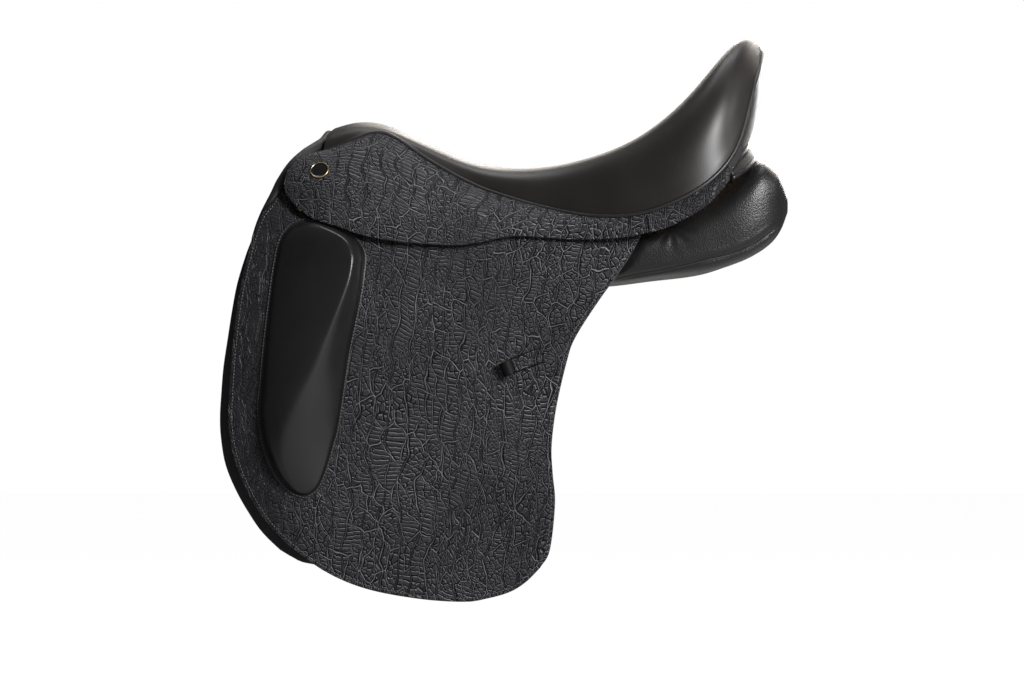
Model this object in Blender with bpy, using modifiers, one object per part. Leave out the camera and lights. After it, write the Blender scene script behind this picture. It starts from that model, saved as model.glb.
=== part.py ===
"""English dressage saddle, metres, +Z up, +X towards the cantle, left (near) side at -Y.

The origin is on the middle plane, level with the middle of the panels' underside, where the
horse's back carries the saddle. Every left piece is built once and mirrored for the right.
"""

import math

import bmesh
import bpy
import numpy as np
from mathutils import Vector

MM = 0.001

# Overall sizes
SEAT_LENGTH = 0.4445        # head nail to cantle tip, a 17.5 inch seat
FLAP_DROP = 0.2965          # origin down to the flap's lowest point
SEAT_WIDTH = 0.276          # widest part of the seat, over its welts
FLAP_SPREAD = (SEAT_WIDTH + 0.0052) * 0.75  # over both flaps at their hinge lines, above the origin

# Leather and padding
FLAP_THICKNESS = 0.004
SKIRT_THICKNESS = 0.003
SWEAT_FLAP_THICKNESS = 0.003
COVER_THICKNESS = 0.002
FOAM_THICKNESS = 0.010
WEB_THICKNESS = 0.0015
TREE_THICKNESS = 0.006
BLOCK_HEIGHT = 0.036
BLOCK_EDGE = 0.0025
WELT_RADIUS = 0.0023
WELT_GAP = 0.0014
FACING_RADIUS = 0.0062
CANTLE_BACK_THICKNESS = 0.0025
REAR_BAND_THICKNESS = 0.004

# Gullet, and the flap's hinge line and shape
GULLET_WIDTH = 0.070
FLAP_HINGE_Z = 0.0553
FLAP_HINGE_FALL = 0.038
FLAP_FLARE = 0.10
FLAP_BULGE = 0.042
BULGE_DEPTH = 0.140
HINGE_TO_FLAP = 0.002
HINGE_TO_SWEAT_FLAP = 0.006

# Girth straps, which hang between the flap and the sweat flap
STRAP_THICKNESS = 0.004
STRAP_WIDTH = 0.025
STRAP_PITCH = 0.078
STRAP_LENGTH = 0.255
STRAP_PIVOT_DROP = 0.020
STRAP_TOP = 0.010
STRAP_GAP = 0.0025
GIRTH_WEB_THICKNESS = 0.0015
GIRTH_WEB_LAP = 0.026
POINT_THICKNESS = 0.004
POINT_WIDTH = 0.040
POINT_FOOT_Z = -0.020

# Fittings
BAR_LENGTH = 0.086
BAR_WIDTH = 0.007
BAR_HEIGHT = 0.007
BAR_Z = 0.0695
BAR_GAP = 0.0075
BAR_PLATE = 0.004
BAR_PLATE_HEIGHT = 0.016
CATCH_LENGTH = 0.017
CATCH_PLAY = 0.0008
CATCH_PIN_RADIUS = 0.0015
CATCH_PIN_INSET = 0.006
CATCH_PIN_RISE = 0.003
CATCH_HEEL = 0.005
BAR_FOOT = 0.008
NAIL_RADIUS = 0.009
NAIL_RISE = 0.0024
NAIL_EDGE = 0.0008
NAIL_Z = 0.107
D_RING_TOP_Z = 0.0845
D_RING_RADIUS = 0.010
D_RING_DROP = 0.0175
D_RING_WIRE = 0.0017
D_RING_STAND_OFF = 0.0075
STAPLE_WIRE = 0.0015
STAPLE_RADIUS = 0.0038
KEEPER_WIDTH = 0.013
KEEPER_THICKNESS = 0.0025
KEEPER_LOOP_RISE = 0.008

# Fits
CLEARANCE = 0.0003
LAYER_GAP = 0.0006
FRAME_GAP = 0.0010
ARM_EASE = 0.0022
MERGE = 0.00005

# Fineness of the seat's grid, and how its sides swell outwards between edge and crest
SEAT_ROWS = 31
SEAT_COLUMNS = 21
TREE_INSET = 2
SEAT_SWELL = 0.17
SKIRT_SWELL = 0.54
SEAT_SWELL_WAY = np.array([0.0, -1.0, 0.35])
BACK_SWELL = 0.26

# How the panel's front leans, how its sections round off, and its slope beside the arm
PANEL_LEAN = 0.37
PANEL_SQUARE = 0.62
ARM_SLOPE_BELOW = 0.45
ARM_SLOPE_ABOVE = 1.1

# How far the flap's upper corner leans in under the skirt, for each mm above the hinge line
CORNER_LEAN = 0.18

# Depths of the layers under the flap's outer face
STRAP_DEPTH = FLAP_THICKNESS + STRAP_GAP
GIRTH_WEB_DEPTH = STRAP_DEPTH + STRAP_THICKNESS + LAYER_GAP
SWEAT_DEPTH = GIRTH_WEB_DEPTH + GIRTH_WEB_THICKNESS + 0.0007
UNDER_SWEAT = SWEAT_DEPTH + SWEAT_FLAP_THICKNESS + LAYER_GAP

# Sizes that the outlines below were drawn at
DRAWN_SEAT_LENGTH = 0.4445
DRAWN_FLAP_DROP = 0.2965
DRAWN_SEAT_WIDTH = 0.276
DRAWN_GULLET_WIDTH = 0.070

# Places along the saddle, drawn x in mm, and the drawn half-width of the head plate's arms
NAIL_X = -170.6
D_RING_X = -183
BAR_FRONT_X = -169
HEAD_X = -147
POINT_FOOT_X = -172
STRAP_FRONT_X = -58
ARM_HALF_WIDTH = 68
ARM_BAY = (-205, -115)      # the panel leaves room for the arm between these
SWEAT_FLAP_END_X = 140      # and for the sweat flap ahead of this

NAME = "dressage_saddle"

# Edge of the seat, left side, from the pommel round to the cantle tip: x, half-width, z in mm
SEAM = [(-170.8, 40, 125.5), (-155.4, 42, 131.7), (-137.6, 44, 139.2), (-118, 45, 145.2),
        (-100, 46, 140.2), (-67, 50, 118), (-30, 58, 97), (0, 68, 84.7), (43.7, 88, 71.4),
        (86.5, 111, 63), (128.9, 129, 64), (171.2, 138, 79), (203.4, 133, 101.7),
        (223.9, 116, 131.6), (239.1, 84, 181.2), (246.4, 60, 202.7), (252.5, 24, 221)]
# Crest of the seat's padding beside each edge point, and the seat's middle line: x, z
CREST = [(-166, 24, 145), (-151, 24, 152), (-136, 25, 155.5), (-117, 25, 155),
         (-100, 27, 149), (-67, 32, 133), (-30, 38, 116), (0, 46, 109), (44, 56, 111),
         (87, 72, 122.5), (130, 90, 140), (173, 95, 174), (204, 85, 210),
         (217, 68, 225), (231, 42, 237), (240, 28, 237.5), (248, 11, 234)]
MIDDLE = [(-160, 151.9), (-148.5, 157.8), (-134.9, 160.7), (-121, 159.2),
          (-102, 153.5), (-68.3, 137.4), (-31, 120.5), (0, 113.5), (44, 109),
          (87, 113), (130, 126), (173, 158), (204, 197),
          (218, 215), (233, 235), (242, 237), (249, 234.5)]

# Lower edge of the skirt from its front corner round the nose to its tail: x, half-width, z
SKIRT_EDGE = [(-200, 77, 107.7), (-204, 80, 94.5), (-198.5, 84, 80), (-178.5, 92, 62.4),
              (-152, 100, 53.3), (-130, 105, 45.6), (-98, 110, 39.5), (-46, 114.5, 35.5),
              (-22.5, 116, 37.5), (0, 117, 42.3), (20, 117.5, 44.2), (65, 122, 41),
              (107.5, 130, 41.3), (149.7, 140, 49), (171, 143, 58.3), (192, 142, 71),
              (203, 139, 82), (213.5, 134, 95), (215.7, 128, 106)]

# Flap outline, from its front top corner round the bottom to its rear top corner: x, z
FLAP_FRONT = [(-226, 62), (-234, 41), (-240.5, 13), (-246.5, -19), (-251, -62),
              (-253.7, -105), (-253.7, -137), (-245.5, -173.5), (-225, -214), (-199, -243.5)]
FLAP_BOTTOM = [(-199, -243.5), (-163, -269), (-124.5, -285), (-75.5, -294), (-33, -296.5),
               (-11.5, -293.3), (9.8, -287), (24.7, -277.5), (37.5, -264.6)]
FLAP_REAR = [(136, 48), (127, 34.6), (116.4, 17.3), (90.3, -19.2), (70, -51.4), (62.5, -72.7),
             (52.7, -115.3), (48.2, -151.7), (49.2, -177.3), (51.3, -205), (46.5, -248),
             (37.5, -264.6)]
# Upper front corner of the flap, above the line where the flap bends: front and rear edge
CORNER_FRONT = [(-199, 96), (-200.6, 93), (-205.2, 84), (-207.8, 76), (-211.5, 69.5),
                (-220, 66.5), (-225, 63.6)]
CORNER_REAR = [(-196.8, 96), (-196.8, 62.8)]
# Sweat flap: its front edge shows in front of the flap
SWEAT_FRONT = [(-222, 62), (-230, 55), (-237, 40), (-240.6, 24), (-246, 7), (-250.5, -14), (-254.5, -40),
               (-258, -73), (-260, -137), (-251, -178), (-233, -213), (-203, -247)]
SWEAT_BOTTOM = [(-203, -247), (-178, -259), (-120, -268), (-60, -272), (-10, -264),
                (25, -240)]
SWEAT_REAR = [(96, 40), (84, 12), (62, -30), (48, -72), (40, -115), (38, -160),
              (37, -205), (25, -240)]

# Thigh block on the flap: front edge, rear edge and ridge, top to bottom: x, z
BLOCK_FRONT = [(-188, 57.3), (-197, 52.5), (-205, 41), (-210, 17), (-214.5, -19), (-219, -62),
               (-221.5, -94), (-223.5, -116), (-222, -137), (-216.5, -158), (-206, -180),
               (-193, -193.5), (-184, -197)]
BLOCK_REAR = [(-184, 57.5), (-172, 57), (-157.5, 52.5), (-145, 46.5), (-135, 38.5), (-129.5, 27),
              (-130, 12), (-133, -13), (-138.5, -41.5), (-144, -70), (-152.5, -130),
              (-158, -152), (-164, -173), (-171.5, -190), (-181, -197.3)]
BLOCK_RIDGE = [(-184, 50), (-164, 40), (-141, 24), (-141.5, -2), (-152, -23.5), (-165, -47),
               (-180, -73), (-195, -94), (-203, -116), (-206, -137), (-203, -160), (-190, -187)]

# Panel sections: x, y inner, y outer, bottom z inner and outer, top z inner and outer
PANEL = [(-222, 52, 84, 58, 20, 97, 60), (-214, 46, 90, 48, 0, 106, 62),
         (-190, 40, 96, 36, -24, 106, 60), (-150, 36, 100, 26, -42, 92, 54),
         (-100, 35, 104, 16, -34, 76, 50), (-50, 35, 106, 8, -20, 64, 48),
         (0, 35, 108, 4, -8, 60, 45), (50, 35, 110, 2, -2, 58, 44),
         (104, 35, 114, 2, -2, 56, 46), (150, 35, 118, 6, 4, 68, 51),
         (195, 36, 121, 11, 10, 94, 70), (225, 37, 122, 20, 19, 113, 95),
         (244, 40, 119, 28, 27, 121.5, 109), (258, 46, 112, 37, 37, 115, 105),
         (267, 55, 101, 48, 48, 101, 94), (272.5, 66, 88, 63, 63, 83, 80)]

# Path of the rolled facing round the pommel, middle to left end: x, half-width, z
FACING = [(-165.5, 0, 144.5), (-170, 22, 136.5), (-178, 36, 130), (-187, 48, 122.8),
          (-197.5, 60, 111.5), (-207, 68, 95.5), (-213.5, 73, 82), (-216.5, 75, 75.5)]
# Rear band, upper and lower edge, middle to left end: x, half-width, z
BAND_TOP = [(238, 0, 132), (237, 40, 130), (233, 76, 124), (224, 104, 115), (216.6, 120, 106.5)]
BAND_BOTTOM = [(241, 0, 119), (241, 40, 118), (238.5, 76, 113.8), (229.5, 106, 104.6),
               (218.5, 122, 97)]
# Arch of the head plate: half-widths that follow the tree, then half-width, z to its left arm
HEAD_SEAT = (0, 7, 13, 18, 22)
ARCH = [(42, 118), (55, 106), (63.5, 95)]
# Keeper on the flap: ends of the strap's middle line: x, z
KEEPER_REAR = (39.5, -67)
KEEPER_FRONT = (13, -77)
KEEPER_LOOP_END = (1.5, -82)
# Lower edge of the cantle back, middle to left end: x, half-width, z
CANTLE_LOW = [(237.5, 0, 136.5), (236.5, 40, 134.5), (231.5, 78, 129), (224.5, 104, 121.5),
              (217.5, 119, 113.5)]


def along(x):
    """A drawn length in mm along the saddle, in metres."""
    return x * MM * SEAT_LENGTH / DRAWN_SEAT_LENGTH


def height(z):
    """A drawn height in mm: only what hangs below the origin follows the flap's drop."""
    return z * MM * (FLAP_DROP / DRAWN_FLAP_DROP if z < 0 else 1.0)


def spread(w):
    """A drawn half-width in mm of a piece that follows the seat's width."""
    return w * MM * SEAT_WIDTH / DRAWN_SEAT_WIDTH


def left_points(rows):
    """Drawn x, half-width, z rows as points on the left side."""
    return np.array([(along(x), -spread(w), height(z)) for x, w, z in rows])


def hinge_z(x):
    """Height of the flap's hinge line, which falls a little towards the rear."""
    return FLAP_HINGE_Z - FLAP_HINGE_FALL * x


def flap_y(x, z, depth=0.0):
    """Left flap's outer face at x, z, or a layer that lies depth inside it."""
    half = FLAP_SPREAD / 2 + FLAP_FLARE * x
    bulge = FLAP_BULGE * (1 - math.exp(-(hinge_z(x) - z) / BULGE_DEPTH))
    return -(half + bulge - depth)


def smooth(points, count, start=0.0, end=0.0):
    """Count points, evenly spaced along a smooth curve, less a length trimmed at each end."""
    knots = np.array(points, float)
    first = 2 * knots[0] - knots[1]
    last = 2 * knots[-1] - knots[-2]
    p = np.vstack([first, knots, last])
    fine = []
    for i in range(1, len(p) - 2):
        for t in np.linspace(0, 1, 12, endpoint=False):
            fine.append(0.5 * (2 * p[i] + (p[i + 1] - p[i - 1]) * t
                               + (2 * p[i - 1] - 5 * p[i] + 4 * p[i + 1] - p[i + 2]) * t ** 2
                               + (3 * p[i] - p[i - 1] - 3 * p[i + 1] + p[i + 2]) * t ** 3))
    fine.append(knots[-1])
    fine = np.array(fine)
    run = np.concatenate([[0], np.cumsum(np.linalg.norm(np.diff(fine, axis=0), axis=1))])
    wanted = np.linspace(start, run[-1] - end, count)
    return np.column_stack([np.interp(wanted, run, fine[:, k]) for k in range(fine.shape[1])])


def grid_normals(grid):
    """Unit normals of a grid of points, columns crossed with rows."""
    along_rows = np.gradient(grid, axis=0)
    along_columns = np.gradient(grid, axis=1)
    normals = np.cross(along_rows, along_columns)
    return normals / np.linalg.norm(normals, axis=2)[:, :, None]


def material(name, colour, roughness, metallic=0.0):
    """A Principled material, made once for each finish."""
    found = bpy.data.materials.get(name)
    if found:
        return found
    made = bpy.data.materials.new(name)
    made.use_nodes = True
    shader = made.node_tree.nodes["Principled BSDF"]
    shader.inputs["Base Color"].default_value = (*colour, 1.0)
    shader.inputs["Roughness"].default_value = roughness
    shader.inputs["Metallic"].default_value = metallic
    return made


def leather(name):
    """The saddle's black leathers."""
    finishes = {"smooth_leather": ((0.020, 0.018, 0.018), 0.42),
                "printed_leather": ((0.024, 0.024, 0.027), 0.50),
                "grained_leather": ((0.022, 0.022, 0.023), 0.55)}
    return material(name, *finishes[name])


def steel():
    return material("steel", (0.35, 0.35, 0.36), 0.35, 1.0)


def brass():
    return material("brass", (0.70, 0.52, 0.26), 0.25, 1.0)


def add_object(name, mesh, finish, collection):
    """Put a mesh in the scene under its node's name."""
    item = bpy.data.objects.new(name, mesh)
    collection.objects.link(item)
    mesh.materials.clear()
    mesh.materials.append(finish)
    mesh.shade_smooth()
    mesh.set_sharp_from_angle(angle=math.radians(40))
    return item


def sheet(name, grid, thickness, finish, collection, flip=False, keep=None):
    """A leather sheet: an open grid of points with its thickness laid inwards by Solidify."""
    rows, columns = grid.shape[:2]
    faces = []
    for i in range(rows - 1):
        for j in range(columns - 1):
            if keep is None or keep(i, j):
                a = i * columns + j
                face = (a, a + 1, a + columns + 1, a + columns)
                faces.append(face if flip else face[::-1])
    mesh = bpy.data.meshes.new(name)
    mesh.from_pydata([tuple(p) for p in grid.reshape(-1, 3)], [], faces)
    clean = bmesh.new()
    clean.from_mesh(mesh)
    loose = [v for v in clean.verts if not v.link_faces]
    bmesh.ops.delete(clean, geom=loose, context="VERTS")
    bmesh.ops.remove_doubles(clean, verts=clean.verts, dist=MERGE)
    clean.to_mesh(mesh)
    clean.free()
    item = add_object(name, mesh, finish, collection)
    wall = item.modifiers.new("thickness", "SOLIDIFY")
    wall.thickness = thickness
    wall.offset = -1.0
    wall.use_even_offset = True
    return item


def loft(name, rings, finish, collection):
    """A closed body through rings of equally many points."""
    body = bmesh.new()
    levels = [[body.verts.new(tuple(p)) for p in ring] for ring in rings]
    count = len(levels[0])
    for low, high in zip(levels, levels[1:]):
        for k in range(count):
            body.faces.new((low[k], low[(k + 1) % count], high[(k + 1) % count], high[k]))
    body.faces.new(levels[0][::-1])
    body.faces.new(levels[-1])
    bmesh.ops.recalc_face_normals(body, faces=body.faces)
    mesh = bpy.data.meshes.new(name)
    body.to_mesh(mesh)
    body.free()
    return add_object(name, mesh, finish, collection)


def tube(name, points, radius, finish, collection, closed=False, resolution=2):
    """A welt, ring or wire: a curve with a round section."""
    curve = bpy.data.curves.new(name, "CURVE")
    curve.dimensions = "3D"
    curve.bevel_depth = radius
    curve.bevel_resolution = resolution
    curve.use_fill_caps = not closed
    line = curve.splines.new("POLY")
    line.points.add(len(points) - 1)
    for point, place in zip(line.points, points):
        point.co = (*place, 1.0)
    line.use_cyclic_u = closed
    item = bpy.data.objects.new(name, curve)
    collection.objects.link(item)
    curve.materials.append(finish)
    return item


def block(name, size, centre, finish, collection, bevel=0.0):
    """A box with eased edges, its centre at a point."""
    body = bmesh.new()
    bmesh.ops.create_cube(body, size=1.0)
    bmesh.ops.scale(body, vec=Vector(size), verts=body.verts)
    bmesh.ops.translate(body, vec=Vector(centre), verts=body.verts)
    mesh = bpy.data.meshes.new(name)
    body.to_mesh(mesh)
    body.free()
    item = add_object(name, mesh, finish, collection)
    if bevel:
        ease = item.modifiers.new("edges", "BEVEL")
        ease.width = bevel
        ease.segments = 1
    return item


def mirrored(item, collection):
    """The right-hand copy of a left piece, its shape mirrored in the middle plane."""
    name = item.name.replace("left", "right")
    if item.type == "CURVE":
        curve = item.data.copy()
        curve.name = name
        for line in curve.splines:
            for point in line.points:
                point.co.y = -point.co.y
        copy = bpy.data.objects.new(name, curve)
        copy.location = (item.location.x, -item.location.y, item.location.z)
        collection.objects.link(copy)
        return copy
    mesh = item.data.copy()
    mesh.name = name
    for vertex in mesh.vertices:
        vertex.co.y = -vertex.co.y
    mesh.flip_normals()
    copy = bpy.data.objects.new(name, mesh)
    copy.location = (item.location.x, -item.location.y, item.location.z)
    collection.objects.link(copy)
    for old in item.modifiers:
        new = copy.modifiers.new(old.name, old.type)
        for setting in ("thickness", "offset", "use_even_offset", "width", "segments"):
            if hasattr(old, setting) and not (old.type == "BEVEL" and setting == "thickness"):
                setattr(new, setting, getattr(old, setting))
    return copy


def set_origin(item, place):
    """Move an object's origin to its joint without moving its shape."""
    shift = Vector(place)
    if item.type == "CURVE":
        for line in item.data.splines:
            for point in line.points:
                point.co = (*(Vector(point.co[:3]) - shift), 1.0)
    else:
        for vertex in item.data.vertices:
            vertex.co -= shift
    item.location = shift


def seat_base():
    """The seat's upper face as a grid, pommel to cantle and left to right, and its normals."""
    station = []
    for i, (x, z) in enumerate(MIDDLE):
        edge = left_points([SEAM[i]])[0]
        crest = left_points([CREST[i]])[0]
        middle = np.array([along(x), 0.0, height(z)])
        reach = np.linalg.norm(edge - crest)
        shoulder = (edge + crest) / 2 + SEAT_SWELL_WAY * reach * SEAT_SWELL
        half = [edge, shoulder, crest, middle]
        other = [p * np.array([1, -1, 1]) for p in half[-2::-1]]
        station.append(np.array(half + other))
    station = np.array(station)
    lines = [smooth(station[:, k], SEAT_ROWS, 0.001, 0.002) for k in range(station.shape[1])]
    inset = WELT_RADIUS + WELT_GAP
    grid = []
    for i in range(SEAT_ROWS):
        across = np.array([line[i] for line in lines])
        grid.append(smooth(across, SEAT_COLUMNS, inset, inset))
    grid = np.array(grid)
    return grid, grid_normals(grid)


def seat_layer(base, depth, rows, edge):
    """Part of the seat's grid, lowered by a depth, between two rows and an edge's columns in."""
    grid, normals = base
    layer = grid - normals * depth
    return layer[rows[0]:rows[1], edge:SEAT_COLUMNS - edge]


def make_seat(parts):
    """Leather cover, foam, webbing and the tree: layers of one shape, top to bottom."""
    base = seat_base()
    foam_depth = COVER_THICKNESS + LAYER_GAP
    web_depth = foam_depth + FOAM_THICKNESS + LAYER_GAP
    tree_depth = web_depth + WEB_THICKNESS + LAYER_GAP
    cover = seat_layer(base, 0, (0, SEAT_ROWS), 0)
    sheet("seat_cover", cover, COVER_THICKNESS, leather("smooth_leather"), parts)
    foam = seat_layer(base, foam_depth, (1, SEAT_ROWS - 4), 1)
    sheet("seat_foam", foam, FOAM_THICKNESS, material("foam", (0.62, 0.60, 0.55), 0.9), parts)
    web = seat_layer(base, web_depth, (3, SEAT_ROWS - 9), 5)
    sheet("seat_webbing", web, WEB_THICKNESS, material("webbing", (0.5, 0.48, 0.42), 0.8), parts)
    tree = seat_layer(base, tree_depth, (1, SEAT_ROWS - 6), TREE_INSET)
    opening = (5, SEAT_ROWS - 14, 4, SEAT_COLUMNS - 4 - 5)

    def frame_only(i, j):
        return not (opening[0] <= i < opening[1] and opening[2] <= j < opening[3])

    beech = material("beech", (0.55, 0.40, 0.24), 0.6)
    sheet("tree", tree, TREE_THICKNESS, beech, parts, keep=frame_only)
    return base[0] - base[1] * (tree_depth + TREE_THICKNESS)


def under_tree(floor, x, w):
    """Height of the tree's underside at x and a half-width."""
    half = floor[:, SEAT_COLUMNS // 2::-1]
    across = [np.interp(x, half[:, k, 0], -half[:, k, 1]) for k in range(half.shape[1])]
    heights = [np.interp(x, half[:, k, 0], half[:, k, 2]) for k in range(half.shape[1])]
    return np.interp(w, across, heights)


def rail_edge(floor, x):
    """Half-width of the tree's outer edge at x."""
    return np.interp(x, floor[:, TREE_INSET, 0], -floor[:, TREE_INSET, 1])


def skirt_grid(rows, columns):
    """The skirt between the seat's seam and its own lower edge, nose to tail."""
    seam = smooth(left_points(SEAM[:13] + [(214.6, 127, 112.6)]), rows)
    edge = smooth(left_points(SKIRT_EDGE), rows)
    grid = []
    for top, low in zip(seam, edge):
        line = low - top
        length = np.linalg.norm(line)
        side = np.cross(line / length, np.array([1.0, 0, 0]))
        side = side / np.linalg.norm(side)
        if side[1] > 0:
            side = -side
        row = []
        for t in np.linspace((WELT_RADIUS + WELT_GAP) / length, 1, columns):
            row.append(top + line * t + side * SKIRT_SWELL * length * t * (1 - t))
        grid.append(row)
    return np.array(grid)


def make_skirt(parts):
    """Skirt: printed leather that covers the stirrup bar, sewn to the seat along its top."""
    grid = skirt_grid(28, 6)
    return sheet("skirt_left", grid, SKIRT_THICKNESS, leather("printed_leather"), parts, flip=True)


def patch(front, rear, top, bottom, rows, columns, depth):
    """Four-sided patch of a flap's outline, laid on the flap's shape."""
    left = smooth(front, rows)
    right = smooth(rear, rows)
    up = smooth(top, columns)
    down = smooth(bottom, columns)
    grid = np.zeros((rows, columns, 3))
    for i in range(rows):
        s = i / (rows - 1)
        for j in range(columns):
            t = j / (columns - 1)
            place = ((1 - t) * left[i] + t * right[i] + (1 - s) * up[j] + s * down[j]
                     - (1 - s) * (1 - t) * up[0] - (1 - s) * t * up[-1]
                     - s * (1 - t) * down[0] - s * t * down[-1])
            grid[i, j] = (place[0], flap_y(place[0], place[1], depth), place[1])
    return grid


def outline(points):
    return np.array([(along(x), height(z)) for x, z in points])


def flap_top(front, rear, drop):
    """Both ends of a flap's upper edge, a drop below the hinge line."""
    a = outline([front[0]])[0]
    b = outline([rear[0]])[0]
    return [(x, hinge_z(x) - drop) for x in np.linspace(a[0], b[0], 4)]


def flap_like(front, rear, bottom, drop, rows, columns, depth):
    """A flap or sweat flap: its drawn outline with its top on the hinge line."""
    top = flap_top(front, rear, drop)
    left = outline(front)
    right = outline(rear)
    left[0] = top[0]
    right[0] = top[-1]
    return patch(left, right, top, outline(bottom), rows, columns, depth)


def make_flap(parts):
    """Main flap of printed leather, which lifts about its upper edge."""
    grid = flap_like(FLAP_FRONT, FLAP_REAR, FLAP_BOTTOM, HINGE_TO_FLAP, 16, 14, 0.0)
    return sheet("flap_left", grid, FLAP_THICKNESS, leather("printed_leather"), parts)


def make_flap_corner(parts):
    """Upper front corner of the flap, nailed to the tree above the line where the flap bends."""
    front = outline(CORNER_FRONT)
    rear = outline(CORNER_REAR)
    bottom = flap_top(CORNER_FRONT[-1:], CORNER_REAR[-1:], HINGE_TO_FLAP - 2 * LAYER_GAP)
    front[-1] = bottom[0]
    rear[-1] = bottom[-1]
    grid = patch(front, rear, [front[0], rear[0]], bottom, 10, 5, 0.0)
    grid[:, :, 1] += CORNER_LEAN * (grid[:, :, 2] - hinge_z(grid[:, :, 0]))
    return sheet("flap_corner_left", grid, FLAP_THICKNESS, leather("printed_leather"), parts)


def make_sweat_flap(parts):
    """Sweat flap inside the main flap, sewn to the panel; it lies against the horse."""
    grid = flap_like(SWEAT_FRONT, SWEAT_REAR, SWEAT_BOTTOM, HINGE_TO_SWEAT_FLAP, 12, 10, SWEAT_DEPTH)
    return sheet("sweat_flap_left", grid, SWEAT_FLAP_THICKNESS, leather("smooth_leather"), parts)


def block_section(front, rear, ridge, high):
    """One cross-section of the thigh block: flat on the flap, crowned to its ridge."""
    base = CLEARANCE
    ring = []
    for t in np.linspace(0, 1, 4):
        x, z = front + (rear - front) * t
        ring.append((x, flap_y(x, z) - base, z))
    share = np.clip(np.dot(ridge - front, rear - front) / np.dot(rear - front, rear - front), 0.2, 0.85)
    for t in (1.0, 0.94, 0.86, 0.76, 0.62, 0.5, 0.36, 0.24, 0.12, 0.0):
        x, z = front + (rear - front) * t
        if t > share:
            rise = 1 - ((t - share) / (1 - share)) ** 2.2
        else:
            rise = 1 - ((share - t) / share) ** 2.0
        lift = BLOCK_EDGE + (high - BLOCK_EDGE) * max(rise, 0.0) ** 0.85
        ring.append((x, flap_y(x, z) - base - lift, z))
    return ring


def make_block(parts):
    """Thigh block: a moulded pad sewn on the flap's face, highest along its ridge."""
    rows = 18
    front = smooth(outline(BLOCK_FRONT), rows)
    rear = smooth(outline(BLOCK_REAR), rows)
    ridge = smooth(outline(BLOCK_RIDGE), rows)
    rings = []
    for i in range(rows):
        s = i / (rows - 1)
        swell = min(1.0, math.sin(min(s * 4.2, 1.0) * math.pi / 2) ** 0.8)
        taper = min(1.0, math.sin(min((1 - s) * 1.9, 1.0) * math.pi / 2))
        high = BLOCK_EDGE + (BLOCK_HEIGHT - BLOCK_EDGE) * swell * taper
        rings.append(block_section(front[i], rear[i], ridge[i], high))
    body = loft("thigh_block_left", rings, leather("smooth_leather"), parts)
    return body


def make_panel(parts):
    """Flocked panel: two long cushions with a gullet between them."""
    rings = []
    count = 16
    knots = np.array(PANEL, float)
    run = smooth(knots, 26)
    for x, y_in, y_out, low_in, low_out, top_in, top_out in run:
        ring = []
        lean = PANEL_LEAN * np.clip((-100 - x) / 110, 0, 1)
        for k in range(count):
            turn = 2 * math.pi * (k + 0.5) / count
            a = math.copysign(abs(math.cos(turn)) ** PANEL_SQUARE, math.cos(turn))
            b = math.copysign(abs(math.sin(turn)) ** PANEL_SQUARE, math.sin(turn))
            s = (a + 1) / 2
            t = (b + 1) / 2
            y = y_in + (y_out - y_in) * s
            low = low_in + (low_out - low_in) * s
            top = top_in + (top_out - top_in) * s
            z = low + (top - low) * t
            place_x = along(x + lean * (z - 50))
            place_z = height(z)
            y_m = spread(y) + (GULLET_WIDTH - DRAWN_GULLET_WIDTH) / 2 * (1 - s)
            if place_x < along(SWEAT_FLAP_END_X):
                depth = UNDER_SWEAT
                beside_arm = along(ARM_BAY[0]) < place_x < along(ARM_BAY[1])
                if beside_arm and place_z > POINT_FOOT_Z - 0.012:
                    depth += POINT_THICKNESS + ARM_EASE
                    arm = spread(ARM_HALF_WIDTH) - POINT_THICKNESS - ARM_EASE
                    below_bar = max(0.0, BAR_Z - 0.016 - place_z)
                    over_bar = max(0.0, place_z - BAR_Z - BAR_PLATE_HEIGHT + 0.001)
                    y_m = min(y_m, arm + ARM_SLOPE_BELOW * below_bar - ARM_SLOPE_ABOVE * over_bar)
                y_m = min(y_m, -flap_y(place_x, place_z, depth))
            ring.append((place_x, -y_m, place_z))
        rings.append(ring)
    return loft("panel_left", rings, leather("grained_leather"), parts)


def make_head_plate(parts, floor):
    """Steel head plate: an arch under the tree's head, its two points reaching down the sides."""
    path = [(spread(w), None) for w in HEAD_SEAT]
    path += [(spread(w), height(z)) for w, z in ARCH]
    path.append((spread(ARM_HALF_WIDTH), BAR_Z + BAR_PLATE_HEIGHT))
    path.append((spread(ARM_HALF_WIDTH), BAR_Z - 0.002))
    for z in np.linspace(BAR_Z - 0.014, POINT_FOOT_Z, 5):
        path.append((None, z))
    top = under_tree(floor, along(HEAD_X), 0.0)
    rows = []
    for w, z in path:
        share = 0.0 if z is None else min(1.0, max(0.0, (top - z) / (top - BAR_Z)))
        middle = along(HEAD_X + (POINT_FOOT_X - HEAD_X) * share)
        row = []
        for x in (middle - POINT_WIDTH / 2, middle, middle + POINT_WIDTH / 2):
            if z is None:
                row.append((x, -w, under_tree(floor, x, w) - FRAME_GAP))
            elif w is None:
                row.append((x, flap_y(x, z, UNDER_SWEAT), z))
            else:
                row.append((x, -w, z))
        rows.append(row)
    left = np.array(rows)
    right = left[1:] * np.array([1, -1, 1])
    grid = np.vstack([left[::-1], right])
    return sheet("head_plate", grid, POINT_THICKNESS, steel(), parts, flip=True)


def union(item, other):
    """Join another body to an item and drop the second object."""
    join = item.modifiers.new("join", "BOOLEAN")
    join.operation = "UNION"
    join.solver = "EXACT"
    join.object = other
    settle(item)
    bpy.data.objects.remove(other, do_unlink=True)


def cut(item, cutter):
    """Cut a body out of an item and drop the cutter."""
    bore = item.modifiers.new("bore", "BOOLEAN")
    bore.operation = "DIFFERENCE"
    bore.solver = "EXACT"
    bore.object = cutter
    settle(item)
    bpy.data.objects.remove(cutter, do_unlink=True)


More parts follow.
